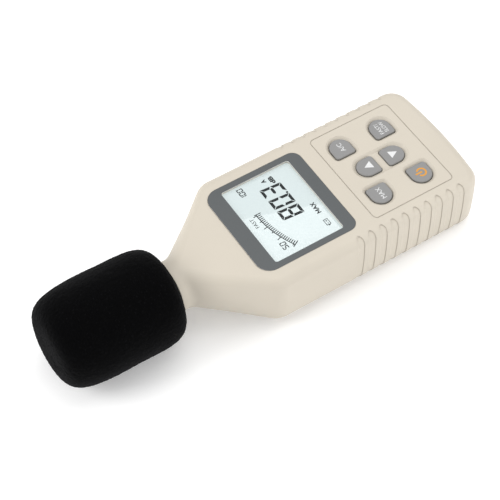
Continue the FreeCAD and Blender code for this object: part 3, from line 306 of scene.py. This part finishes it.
# strength of the display's glow: painted light, since the cell has no backlight
LCD_PAINTED_GLOW = 2.35
INK = (0.004, 0.004, 0.005)
PRINT_WHITE = (0.74, 0.745, 0.745)
PRINT_ORANGE = (0.72, 0.31, 0.025)
FOAM_BLACK = (0.0014, 0.0014, 0.0016)
INNER_WHITE = (0.80, 0.80, 0.78)
PAD_BLACK = (0.030, 0.030, 0.032)
MAT_GREY = (0.32, 0.33, 0.34)
CARBON_BLACK = (0.012, 0.012, 0.012)
SNAP_BLACK = (0.016, 0.016, 0.017)
SEAL_BLACK = (0.014, 0.014, 0.015)
TRIMMER_BLUE = (0.020, 0.085, 0.36)
STEEL = (0.56, 0.55, 0.53)
NICKEL = (0.66, 0.65, 0.62)
BRASS = (0.62, 0.44, 0.18)
BARREL_GREY = (0.42, 0.42, 0.43)
BARREL_BRUSHING = (1.0, 14.0, 1.0)  # brush marks run round the barrel
FOAM_PORE = 0.45 * MM
FOAM_PORE_DEPTH = 0.14 * MM
FOAM_LINT = 0.7 * MM
CHIP_LEAD_HEIGHT = 0.42 * MM  # tinned stretch next to the board
CAN_LID_HEIGHT = 0.35 * MM
CARBON_PITCH = 0.4 * MM       # layers of the zebra strips
COPPER_FROM = 0.66            # share of the battery's length where its copper band starts
COPPER_TO = 0.68


def cream_plastic(name="case_plastic"):
    return moulded(name, CREAM, 0.52, grain_mm=0.28, depth_mm=0.012, variation=0.012,
                   edge_mm=0.5, edge_highlight=1.05)


def bezel_plastic():
    """Dark grey face, with the walls below it painted light: a painted highlight on the window's
    inner walls.
    """
    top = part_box("display_bezel")[1].z
    paint = Paint("bezel_plastic", specular=0.45)
    on_face = paint.maths("GREATER_THAN", paint.axis("Z"), top - BEZEL_GREY_DEPTH)
    face = paint.two_tone(DISPLAY_GREY, 0.03, 35.0)
    grain = paint.noise(1.0 / (0.2 * MM), 3.0)
    # walls below the face painted light as a painted highlight; the face itself is dark grey
    paint.set_colour(paint.blend(on_face, BEZEL_WALL_PAINTED_LIGHT, face))
    paint.set_roughness(grain, 0.30, 0.40)
    paint.set_bump(grain, 0.004 * MM)
    return paint.material


def key_rubber():
    return moulded("key_rubber", KEY_GREY, 0.60, grain_mm=0.25, depth_mm=0.012,
                   variation=0.02, edge_mm=0.25, edge_highlight=1.15)


def clear_lens():
    """Acrylic window: nearly invisible, with the faintest haze."""
    paint = Paint("clear_lens", alpha=0.02, ior=1.49)
    haze = paint.noise(300.0, 2.0)
    paint.set_colour(paint.ramp(haze, [(0.3, (0.78, 0.86, 0.87)), (0.7, (0.82, 0.90, 0.91))]))
    paint.set_roughness(haze, 0.03, 0.07)
    return paint.material


def lcd_glass():
    """Polarised display glass over a satin reflector. It also glows evenly though it has no
    backlight: painted light that fills the shade of the well round it.
    """
    paint = Paint("lcd_glass", coat=1.0, coat_roughness=0.02, coat_ior=1.8, specular=0.1,
                  glow=LCD_PAINTED_GLOW)
    # painted glow in the display's own tint, lifting the shade inside the window
    paint.shader.inputs["Emission Color"].default_value = (*LCD_TINT, 1.0)
    fine = paint.noise(2600.0, 2.0)
    paint.set_colour(paint.ramp(fine, [(0.3, shade(LCD_TINT, 0.985)),
                                       (0.7, shade(LCD_TINT, 1.015))]))
    paint.set_roughness(fine, 0.42, 0.55)
    return paint.material


def lcd_ink():
    paint = Paint("lcd_ink", specular=0.0)
    fine = paint.noise(2600.0, 2.0)
    paint.set_colour(paint.ramp(fine, [(0.3, INK), (0.7, shade(INK, 1.8))]))
    paint.set_roughness(fine, 0.45, 0.6)
    return paint.material


def print_ink(name, colour):
    """Screen printing: a thin satin film with a slightly uneven cover."""
    paint = Paint(name)
    cover = paint.noise(1800.0, 3.0)
    paint.set_colour(paint.ramp(cover, [(0.25, shade(colour, 0.9)), (0.6, colour)]))
    paint.set_roughness(cover, 0.4, 0.55)
    paint.set_bump(cover, 0.006 * MM)
    return paint.material


def windscreen_foam():
    """Open-cell polyurethane: pores a few tenths of a millimetre wide and a velvet sheen."""
    paint = Paint("windscreen_foam", sheen=0.035, sheen_roughness=0.45,
                  sheen_tint=(0.85, 0.86, 0.90, 1.0), specular=0.04)
    pores = paint.cells(1.0 / FOAM_PORE)
    lint = paint.noise(1.0 / FOAM_LINT, 4.0, 0.7)
    height = paint.maths("ADD", pores, lint)
    paint.set_colour(paint.ramp(lint, [(0.35, shade(FOAM_BLACK, 0.6)), (0.62, FOAM_BLACK),
                                       (0.78, shade(FOAM_BLACK, 14.0))]))
    paint.set_roughness(pores, 0.88, 1.0)
    paint.set_bump(height, FOAM_PORE_DEPTH, 0.8)
    return paint.material


def circuit_board():
    """Green solder mask over copper tracks, with the tracks a shade lighter and raised."""
    paint = Paint("circuit_board")
    tracks = paint.add("ShaderNodeTexBrick", {
        "Vector": paint.place, "Scale": 260.0, "Mortar Size": 0.07, "Mortar Smooth": 0.2,
        "Brick Width": 0.9, "Row Height": 0.31}).outputs["Fac"]
    mask = paint.noise(90.0, 2.0)
    base = paint.ramp(mask, [(0.3, (0.010, 0.085, 0.030)), (0.7, (0.014, 0.11, 0.040))])
    paint.set_colour(paint.blend(tracks, base, (0.035, 0.20, 0.070)))
    paint.set_roughness(mask, 0.28, 0.38)
    paint.set_bump(tracks, 0.03 * MM)
    return paint.material


def chip_epoxy():
    """Black epoxy body; the thin stretch next to the board is tinned lead."""
    board_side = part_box("amplifier_chips")[1].z
    paint = Paint("chip_epoxy")
    lead = paint.maths("GREATER_THAN", paint.axis("Z"), board_side - CHIP_LEAD_HEIGHT)
    grain = paint.noise(2500.0, 2.0)
    black = paint.ramp(grain, [(0.3, (0.010, 0.010, 0.011)), (0.7, (0.016, 0.016, 0.017))])
    paint.set_colour(paint.blend(lead, black, (0.62, 0.62, 0.60)))
    paint.set_metallic(lead)
    paint.set_roughness(grain, 0.38, 0.52)
    paint.set_bump(grain, 0.01 * MM)
    return paint.material


def capacitor_can():
    """Blue sleeve shrunk over an aluminium can whose lid is bare."""
    lid_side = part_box("capacitors")[0].z
    paint = Paint("capacitor_can")
    lid = paint.maths("LESS_THAN", paint.axis("Z"), lid_side + CAN_LID_HEIGHT)
    drift = paint.noise(500.0, 2.0)
    sleeve = paint.ramp(drift, [(0.3, (0.012, 0.022, 0.075)), (0.7, (0.017, 0.030, 0.095))])
    paint.set_colour(paint.blend(lid, sleeve, (0.70, 0.71, 0.72)))
    paint.set_metallic(lid)
    paint.set_roughness(drift, 0.25, 0.38)
    return paint.material


def battery_can():
    """Steel jacket in two plain colours, dark below and copper by the terminals."""
    low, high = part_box("battery")
    paint = Paint("battery_can", metallic=0.85)
    along = paint.spread(paint.axis("Y"), low.y, high.y, 0.0, 1.0)
    scuffs = paint.noise(160.0, 4.0, 0.65)
    band = paint.ramp(along, [(0.0, (0.012, 0.012, 0.014)), (COPPER_FROM, (0.014, 0.014, 0.016)),
                              (COPPER_TO, (0.50, 0.22, 0.09)), (1.0, (0.54, 0.25, 0.10))])
    wear = paint.spread(scuffs, 0.55, 0.75, 0.0, 0.35)
    paint.set_colour(paint.blend(wear, band, (0.30, 0.29, 0.28)))
    paint.set_roughness(scuffs, 0.24, 0.42)
    return paint.material


def zebra_rubber():
    """Silicone strip with carbon layers a fraction of a millimetre apart."""
    paint = Paint("zebra_rubber")
    turns = paint.maths("MULTIPLY", paint.axis("X"), 2.0 * math.pi / CARBON_PITCH)
    layers = paint.maths("SINE", turns)
    paint.set_colour(paint.ramp(paint.spread(layers, -1.0, 1.0, 0.0, 1.0),
                                [(0.4, (0.012, 0.012, 0.012)), (0.6, (0.55, 0.24, 0.24))]))
    paint.set_roughness(paint.noise(900.0), 0.55, 0.7)
    return paint.material


def lead_wire():
    """Two insulated wires: red on the +X side and black on the other."""
    paint = Paint("lead_wire")
    side = paint.maths("GREATER_THAN", paint.axis("X"), 0.0)
    drift = paint.noise(700.0)
    black = paint.ramp(drift, [(0.3, (0.012, 0.012, 0.012)), (0.7, (0.020, 0.020, 0.020))])
    paint.set_colour(paint.blend(side, black, (0.42, 0.016, 0.012)))
    paint.set_roughness(drift, 0.35, 0.45)
    return paint.material


def reflector_white():
    return moulded("white_plastic", INNER_WHITE, 0.5, grain_mm=0.5, depth_mm=0.01)


def paint_nodes():
    """Gives every CAD node that stays in view its own procedural finish."""
    cream = cream_plastic()
    white = reflector_white()
    steel = metal("steel", STEEL, 0.32)
    keys = key_rubber()
    board = circuit_board()
    chips = chip_epoxy()
    barrel = metal("microphone_metal", BARREL_GREY, 0.36, 0.5, BARREL_BRUSHING)
    snaps = metal("snap_metal", NICKEL, 0.3)
    wires = lead_wire()
    finishes = {
        "front_shell": cream, "rear_shell": cream,
        "battery_door": cream_plastic("door_plastic"),
        "battery_pad": moulded("pad_foam", PAD_BLACK, 0.95, 0.5, 0.12, 0.2),
        "display_bezel": bezel_plastic(), "display_lens": clear_lens(), "lcd_cell": lcd_glass(),
        "lcd_holder": white, "display_reflector": white, "zebra_strips": zebra_rubber(),
        "keypad_mat": moulded("mat_silicone", MAT_GREY, 0.5, 0.4, 0.01, 0.05),
        "contact_pills": moulded("carbon", CARBON_BLACK, 0.7, 0.15, 0.02, 0.2),
        "main_board": board, "preamplifier_board": board,
        "controller_chip": chips, "amplifier_chips": chips, "capacitors": capacitor_can(),
        "level_trimmer": moulded("trimmer_body", TRIMMER_BLUE, 0.42, 0.3, 0.01, 0.05),
        "board_screws": steel, "case_screws": steel, "battery": battery_can(),
        "battery_terminals": snaps,
        "battery_snap": moulded("snap_plastic", SNAP_BLACK, 0.5, 0.3, 0.02, 0.1),
        "battery_leads": wires, "microphone_lead": wires, "microphone_barrel": barrel,
        "microphone_grid": barrel, "microphone_capsule": snaps,
        "microphone_seal": moulded("seal_rubber", SEAL_BLACK, 0.7, 0.3, 0.02, 0.1),
    }
    finishes.update({name: keys for name in NODES if name.endswith("_key")})
    for name, material in finishes.items():
        for slot in NODES[name].material_slots:
            slot.material = material


# ---------------------------------------------------------------- mesh helpers
ON_AXIS = 1e-7                # radius, in metres, that counts as a point on the axis
WELD = 1e-7                   # points nearer than this are joined
LETTER_SMOOTHNESS = 4


def new_piece(name, mesh, material, body):
    """Adds an object that moves with the given body and belongs to the given slot."""
    piece = bpy.data.objects.new(name, mesh)
    bpy.context.scene.collection.objects.link(piece)
    mesh.materials.append(material)
    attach(piece, body)
    return piece


def lathe(name, outline, centre, segments):
    """Closed mesh turned about the Y axis through centre; outline is (radius, y)."""
    shape = bmesh.new()
    rings = []
    for radius, y in outline:
        if radius < ON_AXIS:
            rings.append([shape.verts.new((centre.x, y, centre.z))])
            continue
        ring = []
        for i in range(segments):
            a = 2.0 * math.pi * i / segments
            ring.append(shape.verts.new((centre.x + radius * math.cos(a), y,
                                         centre.z + radius * math.sin(a))))
        rings.append(ring)
    for near, far in zip(rings, rings[1:]):
        for i in range(segments):
            j = (i + 1) % segments
            corners = [near[i % len(near)], near[j % len(near)],
                       far[j % len(far)], far[i % len(far)]]
            shape.faces.new(list(dict.fromkeys(corners)))
    return finished(name, shape, smooth=True)


def finished(name, shape, smooth=False):
    """Turns a bmesh into a mesh with its faces outwards."""
    bmesh.ops.recalc_face_normals(shape, faces=shape.faces)
    for face in shape.faces:
        face.smooth = smooth
    mesh = bpy.data.meshes.new(name)
    shape.to_mesh(mesh)
    shape.free()
    return mesh


def add_plate(shape, outline, low_z, high_z):
    """Adds one flat closed plate with the given outline, in metres, to a bmesh."""
    under = [shape.verts.new((x, y, low_z)) for x, y in outline]
    over = [shape.verts.new((x, y, high_z)) for x, y in outline]
    shape.faces.new(under[::-1])
    shape.faces.new(over)
    for i in range(len(outline)):
        j = (i + 1) % len(outline)
        shape.faces.new((under[i], under[j], over[j], over[i]))


def plates(name, outlines, low_z, high_z):
    """Mesh of flat plates; outlines in millimetres, heights in metres."""
    shape = bmesh.new()
    for outline in outlines:
        add_plate(shape, [(x * MM, y * MM) for x, y in outline], low_z, high_z)
    return finished(name, shape)


def add_words(shape, text, centre, height, width, low_z, high_z, weight=0.0):
    """Adds raised lettering to a bmesh; centre and sizes in millimetres, heights in metres."""
    data = bpy.data.curves.new("words", "FONT")
    data.body = text
    data.offset = weight
    data.extrude = 0.5        # only tells top from bottom; the true heights are set below
    data.resolution_u = LETTER_SMOOTHNESS
    holder = bpy.data.objects.new("words", data)
    bpy.context.scene.collection.objects.link(holder)
    bpy.context.view_layer.update()
    mesh = bpy.data.meshes.new_from_object(holder.evaluated_get(
        bpy.context.evaluated_depsgraph_get()))
    xs = [v.co.x for v in mesh.vertices]
    ys = [v.co.y for v in mesh.vertices]
    scale_y = height * MM / (max(ys) - min(ys))
    scale_x = width * MM / (max(xs) - min(xs))
    middle_x, middle_y = (max(xs) + min(xs)) / 2.0, (max(ys) + min(ys)) / 2.0
    for v in mesh.vertices:
        v.co.x = centre[0] * MM + (v.co.x - middle_x) * scale_x
        v.co.y = centre[1] * MM + (v.co.y - middle_y) * scale_y
        v.co.z = high_z if v.co.z > 0.0 else low_z
    shape.from_mesh(mesh)
    bpy.data.objects.remove(holder)
    bpy.data.meshes.remove(mesh)


def merged(shape):
    """Joins the points that a word's faces share."""
    bmesh.ops.remove_doubles(shape, verts=shape.verts, dist=WELD)
    return shape


# ---------------------------------------------------------------- foam windscreen
FOAM_MIDDLE_SHARE = 0.4137    # place of the thickest ring along the foam
FOAM_FULLNESS_ALONG = 4.4     # exponents of its outline, a superellipse
FOAM_FULLNESS_ROUND = 5.0
FOAM_CELL = 0.55 * MM         # spacing of the mesh
FOAM_NAP = 0.22 * MM          # height of the fuzz
FOAM_NAP_SIZE = 0.9 * MM
FOAM_SWELL = 0.25 * MM        # slow unevenness of the cut foam
FOAM_SWELL_SIZE = 13.0 * MM
FOAM_INSET = 0.1 * MM         # room for the fuzz inside the outer size
FOAM_ARC_STEPS = 1500
BORE_CLEARANCE = 0.3 * MM
BORE_DEPTH = 38.0 * MM
BORE_POINTS = 80


def foam_outside(start, end, radius):
    """Outline of the foam as (radius, y), from the rim of the bore to the far end."""
    middle = start + FOAM_MIDDLE_SHARE * (end - start)
    steps = FOAM_ARC_STEPS
    points = []
    for i in range(-steps, steps + 1):
        a = math.pi / 2.0 * abs(i) / steps
        reach = (middle - start) if i < 0 else (end - middle)
        along = math.copysign(math.sin(a) ** (2.0 / FOAM_FULLNESS_ALONG), i)
        out = max(0.0, math.cos(a)) ** (2.0 / FOAM_FULLNESS_ROUND) if abs(i) < steps else 0.0
        points.append((radius * out, middle + reach * along))
    return points


def evenly(points, spacing):
    """The same line with points at even spacing."""
    kept = [points[0]]
    gone = 0.0
    for a, b in zip(points, points[1:]):
        gone += math.dist(a, b)
        if gone >= spacing:
            kept.append(b)
            gone = 0.0
    if math.dist(kept[-1], points[-1]) > spacing / 3.0:
        kept.append(points[-1])
    else:
        kept[-1] = points[-1]
    return kept


def foam_fuzz(point):
    """How far the surface stands out at that point."""
    nap = noise.noise(point / FOAM_NAP_SIZE) * FOAM_NAP
    swell = noise.noise(point / FOAM_SWELL_SIZE) * FOAM_SWELL
    return nap + swell


def make_windscreen():
    """Foam turned round the barrel, with a bore that is open towards the case."""
    low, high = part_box("windscreen")
    barrel_low, barrel_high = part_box("microphone_barrel")
    centre = (low + high) / 2.0
    radius = (high.x - low.x) / 2.0 - FOAM_INSET
    bore = (barrel_high.x - barrel_low.x) / 2.0 + BORE_CLEARANCE
    outside = [p for p in foam_outside(low.y, high.y, radius) if p[1] > centre.y or p[0] > bore]
    bore_line = [(0.0, low.y + BORE_DEPTH), (bore, low.y + BORE_DEPTH), outside[0]]
    dense = []
    for a, b in zip(bore_line, bore_line[1:]):
        dense += [(a[0] + (b[0] - a[0]) * i / BORE_POINTS, a[1] + (b[1] - a[1]) * i / BORE_POINTS)
                  for i in range(BORE_POINTS)]
    outline = evenly(dense + outside, FOAM_CELL)
    segments = round(2.0 * math.pi * radius / FOAM_CELL)
    mesh = lathe("foam_windscreen", outline, centre, segments)
    normals = [v.normal.copy() for v in mesh.vertices]
    for vertex, normal in zip(mesh.vertices, normals):
        vertex.co += normal * foam_fuzz(vertex.co)
    piece = new_piece("foam_windscreen", mesh, windscreen_foam(), "windscreen")
    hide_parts("windscreen")


# ---------------------------------------------------------------- display artwork
INK_THICKNESS = 0.03 * MM
DIGIT_WIDTH = 5.75            # millimetres, as all sizes of the artwork
DIGIT_HEIGHT = 10.9
DIGIT_STROKE = 1.42
SEGMENT_GAP = 0.14            # gap between segments, as a share of their stroke
DIGIT_SLANT = 0.075
DIGIT_BOTTOM_Y = 0.3
DIGIT_X = (-5.1, 2.0, 9.15)
READING = "803"
POINT_PLACE = (8.5, 0.85)     # decimal point
POINT_RADIUS = 0.55
POINT_SIDES = 16
SMALL_DIGIT_HEIGHT = 3.0
SMALL_DIGIT_WIDTH = 1.9
SMALL_DIGIT_STROKE = 0.46
SMALL_DIGIT_STEP = 0.35       # gap between two small digits
SMALL_DIGIT_SLANT = 0.05
SMALL_DIGIT_Y = 17.1
SCALE_ENDS = (("50", -18.1), ("100", 15.1))
BATTERY_SIGN_PLACE = (-17.0, -6.05)
SEGMENTS = {"0": "abcdef", "1": "bc", "3": "abcdg", "5": "acdfg", "8": "abcdefg"}
ARC_CENTRE = (4.72, -27.95)
ARC_RADII = (45.9, 47.9)
ARC_LINE = 0.42
ARC_ANGLES = (89.6, 118.4)
TICK_PITCH = 1.25             # degrees between the small ticks
TICK_WIDTH = 0.42
DISPLAY_WORDS = (             # text, centre, height, width, boldness
    ("FAST", (1.35, 23.1), 1.8, 5.7, 0.0),
    ("dB", (18.1, 2.9), 2.3, 4.4, 0.045),
)
LETTER_BARS = {               # bars of the bold letters, in shares of their width and height
    "M": (((0.0, 0.0), (0.0, 1.0)), ((0.0, 1.0), (0.5, 0.3)), ((0.5, 0.3), (1.0, 1.0)),
          ((1.0, 1.0), (1.0, 0.0))),
    "A": (((0.0, 0.0), (0.5, 1.0)), ((0.5, 1.0), (1.0, 0.0)), ((0.2, 0.35), (0.8, 0.35))),
    "X": (((0.0, 0.0), (1.0, 1.0)), ((0.0, 1.0), (1.0, 0.0))),
}
BOLD_LETTERS = (              # letter, its lower left corner, width
    ("M", (-9.0, -5.8), 1.75), ("A", (-6.65, -5.8), 1.65), ("X", (-4.4, -5.8), 1.45),
    ("A", (18.6, 5.75), 1.3),
)
BOLD_HEIGHT = 1.75
BOLD_LINE = 0.46
LONG_TICKS = (                # angle, length
    (90.4, 1.7), (94.9, 1.0), (99.6, 1.9), (104.2, 1.0), (109.3, 2.2), (117.6, 0.9),
)
FIRST_TICK_REACH = 0.9        # how far the two end ticks stand out of the arc
LAST_TICK_REACH = 1.4
END_TICK_FOOT = 0.5
SIGN_MARKS = ((0.7, 1.35), (2.0, 2.8))  # the minus, and the flat bar of the plus
PLUS_UPRIGHT = (2.26, 2.54)
SIGN_REACH = 0.4              # half height of the plus and of the terminal


def segment_outlines(width, height, stroke, gap):
    """Outline of each of the seven segments of a digit, mitred where they meet."""
    w, h, s, g = width, height, stroke, gap
    m = height / 2.0
    upper = [(0.0, h - g), (0.0, m + g / 2.0), (s, m + s / 2.0 + g), (s, h - s - g)]
    outlines = {
        "a": [(g, h), (s + g, h - s), (w - s - g, h - s), (w - g, h)],
        "f": upper,
        "g": [(s / 2.0 + g, m), (s + g, m - s / 2.0), (w - s - g, m - s / 2.0),
              (w - s / 2.0 - g, m), (w - s - g, m + s / 2.0), (s + g, m + s / 2.0)],
    }
    outlines["b"] = [(w - x, y) for x, y in reversed(upper)]
    outlines["e"] = [(x, h - y) for x, y in reversed(upper)]
    outlines["c"] = [(w - x, h - y) for x, y in upper]
    outlines["d"] = [(x, h - y) for x, y in reversed(outlines["a"])]
    return outlines


def digit(character, x, y, width, height, stroke, slant):
    """Outlines of a seven-segment digit whose lower left corner is at x, y."""
    outlines = segment_outlines(width, height, stroke, stroke * SEGMENT_GAP)
    return [[(x + px + slant * py, y + py) for px, py in outlines[segment]]
            for segment in SEGMENTS[character]]


def disc(centre, radius, sides):
    return [(centre[0] + radius * math.cos(a), centre[1] + radius * math.sin(a))
            for a in (2.0 * math.pi * i / sides for i in range(sides))]


def ring_point(radius, degrees):
    a = math.radians(degrees)
    return (ARC_CENTRE[0] + radius * math.cos(a), ARC_CENTRE[1] + radius * math.sin(a))


def arc_strip(radius, thickness, start, end, steps=48):
    """Outline of a thin band along the scale's arc; start and end in degrees."""
    angles = [start + (end - start) * i / steps for i in range(steps + 1)]
    inner = [ring_point(radius - thickness / 2.0, a) for a in angles]
    outer = [ring_point(radius + thickness / 2.0, a) for a in angles]
    return outer[::-1] + inner


def tick(angle, low, high, width):
    """Outline of a radial bar of the scale, between two radii."""
    a, b = Vector(ring_point(low, angle)), Vector(ring_point(high, angle))
    across = (b - a).normalized().orthogonal() * width / 2.0
    return [a - across, b - across, b + across, a + across]


def bar(start, end, width):
    """Outline of a straight bar of that width, half a width longer at both ends."""
    a, b = Vector(start), Vector(end)
    along = (b - a).normalized() * width / 2.0
    across = along.orthogonal()
    return [a - along - across, b + along - across, b + along + across, a - along + across]


def bold_letters():
    """Letters of the display that are thicker than the font's, made of straight bars."""
    outlines = []
    for letter, (x, y), width in BOLD_LETTERS:
        for (x0, y0), (x1, y1) in LETTER_BARS[letter]:
            outlines.append(bar((x + x0 * width, y + y0 * BOLD_HEIGHT),
                                (x + x1 * width, y + y1 * BOLD_HEIGHT), BOLD_LINE))
    return outlines


def bargraph():
    """An arc with a comb of fine ticks inside it and a few longer ones outside."""
    low, high = ARC_RADII
    start, end = ARC_ANGLES
    outlines = [arc_strip(high, ARC_LINE, start, end)]
    for i in range(int((end - start) / TICK_PITCH) + 1):
        outlines.append(tick(start + i * TICK_PITCH, low, high, TICK_WIDTH))
    for angle, length in LONG_TICKS:
        outlines.append(tick(angle, high, high + length, TICK_WIDTH))
    outlines.append(tick(start, low - END_TICK_FOOT, high + FIRST_TICK_REACH, TICK_WIDTH))
    outlines.append(tick(end, low - END_TICK_FOOT, high + LAST_TICK_REACH, TICK_WIDTH))
    return outlines


def box_outline(x0, x1, y0, y1):
    return [(x0, y0), (x1, y0), (x1, y1), (x0, y1)]


def battery_sign(x, y, width=3.5, height=2.3, line=0.28):
    """Small battery symbol: frame, terminal, minus and plus."""
    x1, y1 = x + width, y + height
    middle = y + height / 2.0
    low, high = middle - SIGN_REACH, middle + SIGN_REACH
    frame_bars = [
        box_outline(x, x1, y, y + line), box_outline(x, x1, y1 - line, y1),
        box_outline(x, x + line, y, y1), box_outline(x1 - line, x1, y, y1),
    ]
    terminal = box_outline(x - SIGN_REACH, x, low, high)
    flats = [box_outline(x + a, x + b, middle - line / 2.0, middle + line / 2.0)
             for a, b in SIGN_MARKS]
    upright = box_outline(x + PLUS_UPRIGHT[0], x + PLUS_UPRIGHT[1], low, high)
    return frame_bars + [terminal] + flats + [upright]


def make_display_art():
    """Segments and words of the display, as ink a little above the glass."""
    low_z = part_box("lcd_cell")[1].z
    high_z = low_z + INK_THICKNESS
    ink = lcd_ink()
    reading = []
    for character, x in zip(READING, DIGIT_X):
        reading += digit(character, x, DIGIT_BOTTOM_Y, DIGIT_WIDTH, DIGIT_HEIGHT,
                         DIGIT_STROKE, DIGIT_SLANT)
    reading.append(disc(POINT_PLACE, POINT_RADIUS, POINT_SIDES))
    small = []
    for text, x in SCALE_ENDS:
        for i, character in enumerate(text):
            small += digit(character, x + i * (SMALL_DIGIT_WIDTH + SMALL_DIGIT_STEP), SMALL_DIGIT_Y,
                           SMALL_DIGIT_WIDTH, SMALL_DIGIT_HEIGHT, SMALL_DIGIT_STROKE,
                           SMALL_DIGIT_SLANT)
    for name, outlines in (("display_reading", reading), ("display_scale", small + bargraph()),
                           ("display_mode", bold_letters()),
                           ("display_battery_sign", battery_sign(*BATTERY_SIGN_PLACE))):
        new_piece(name, plates(name, outlines, low_z, high_z), ink, "case")
    shape = bmesh.new()
    for text, centre, height, width, weight in DISPLAY_WORDS:
        add_words(shape, text, centre, height, width, low_z, high_z, weight)
    new_piece("display_words", finished("display_words", merged(shape)), ink, "case")


# ---------------------------------------------------------------- signs on the keys
PRINT_THICKNESS = 0.025 * MM
ARROW_X = 0.25                # middle line of both arrows, in millimetres
ARROW_HALF_WIDTH = 2.15
ARROW_HEIGHT = 4.0
ARROWS = (("range_up_key", 1, -36.2), ("range_down_key", -1, -54.4))  # key, way, tip
POWER_PLACE = (-15.75, -56.75)
POWER_STEPS = 40
POWER_BAR = (-0.3, 3.2)       # ends of the bar above the ring's middle
POWER_RADIUS = 2.1
POWER_LINE = 0.8
POWER_GAP = 34.0              # degrees each side of the bar
KEY_WORDS = {
    "max_key": (("MAX", (-15.7, -34.0), 2.3, 6.5),),
    "weighting_key": (("A/C", (15.95, -34.05), 2.3, 5.2),),
    "response_key": (("FAST/", (15.6, -55.2), 1.95, 6.7), ("SLOW", (15.6, -57.9), 1.95, 6.6)),
}


def key_top(key):
    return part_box(key)[1].z


def make_key_words(white):
    for key, lines in KEY_WORDS.items():
        top = key_top(key)
        shape = bmesh.new()
        for text, place, height, width in lines:
            add_words(shape, text, place, height, width, top, top + PRINT_THICKNESS)
        name = key + "_print"
        new_piece(name, finished(name, merged(shape)), white, key)


def make_arrows(white):
    for key, way, tip_y in ARROWS:
        top = key_top(key)
        base_y = tip_y - way * ARROW_HEIGHT
        outline = [(ARROW_X - ARROW_HALF_WIDTH, base_y), (ARROW_X + ARROW_HALF_WIDTH, base_y),
                   (ARROW_X, tip_y)]
        name = key + "_print"
        new_piece(name, plates(name, [outline[::way]], top, top + PRINT_THICKNESS),
                  white, key)


def make_power_sign():
    """Broken ring with a bar through its gap."""
    top = key_top("power_key")
    x, y = POWER_PLACE
    angles = [90.0 + POWER_GAP + (360.0 - 2.0 * POWER_GAP) * i / POWER_STEPS
              for i in range(POWER_STEPS + 1)]
    inner, outer = POWER_RADIUS - POWER_LINE / 2.0, POWER_RADIUS + POWER_LINE / 2.0
    ring = [[(x + r * math.cos(math.radians(a)), y + r * math.sin(math.radians(a)))
             for a in angles] for r in (inner, outer)]
    half = POWER_LINE / 2.0
    low, high = POWER_BAR
    outlines = [ring[0][::-1] + ring[1], box_outline(x - half, x + half, y + low, y + high)]
    new_piece("power_key_print", plates("power_key_print", outlines, top, top + PRINT_THICKNESS),
              print_ink("print_orange", PRINT_ORANGE), "power_key")


# ---------------------------------------------------------------- threaded tripod insert
THREAD_PITCH = 1.27 * MM
THREAD_DEPTH = 0.55 * MM
THREAD_STEPS = 12             # rows of vertices along one turn of the thread
THREAD_SIDES = 48
INSERT_BORE = 2.55 * MM
INSERT_DEPTH = 8.0 * MM
INSERT_CHAMFER = 0.4 * MM
FLANK_STEEPNESS = 1.5         # shape of the thread's sawtooth
ROOT_FLAT = 0.2


def thread_radius(depth, turns):
    """Radius of the thread's wall after so many turns: a sawtooth with flat crests."""
    wave = abs((turns % 1.0) * 2.0 - 1.0)
    return INSERT_BORE + depth * min(1.0, max(0.0, wave * FLANK_STEEPNESS - ROOT_FLAT))


def make_tripod_insert():
    """Brass insert with a 1/4-20 thread in its bore, mouth downwards."""
    low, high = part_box("tripod_insert")
    outer = (high.x - low.x) / 2.0
    rows = round(INSERT_DEPTH / THREAD_PITCH * THREAD_STEPS)
    shape = bmesh.new()

    def ring(z, radius_of):
        made = []
        for i in range(THREAD_SIDES):
            turn = i / THREAD_SIDES
            r = radius_of(turn)
            a = 2.0 * math.pi * turn
            made.append(shape.verts.new((r * math.cos(a), r * math.sin(a), z)))
        return made

    rings = [ring(high.z, lambda t: outer), ring(low.z, lambda t: outer)]
    rings.append(ring(low.z, lambda t: INSERT_BORE + THREAD_DEPTH + INSERT_CHAMFER))
    for row in range(1, rows):
        z = low.z + INSERT_DEPTH * row / rows
        fade = min(1.0, (rows - row) / THREAD_STEPS)
        rings.append(ring(z, lambda t, z=z, fade=fade: thread_radius(
            THREAD_DEPTH * fade, z / THREAD_PITCH - t)))
    rings.append(ring(low.z + INSERT_DEPTH, lambda t: INSERT_BORE))
    for near, far in zip(rings, rings[1:]):
        for i in range(THREAD_SIDES):
            j = (i + 1) % THREAD_SIDES
            shape.faces.new((near[i], near[j], far[j], far[i]))
    shape.faces.new(rings[0][::-1])
    shape.faces.new(rings[-1])
    mesh = finished("threaded_insert", shape)
    piece = new_piece("threaded_insert", mesh, metal("brass", BRASS, 0.3), "case")
    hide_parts("tripod_insert")


bpy.context.scene.view_settings.view_transform = "Standard"
make_camera()
make_floor()
make_light()
paint_nodes()
make_windscreen()
make_display_art()
white_print = print_ink("print_white", PRINT_WHITE)
make_key_words(white_print)
make_arrows(white_print)
make_power_sign()
make_tripod_insert()
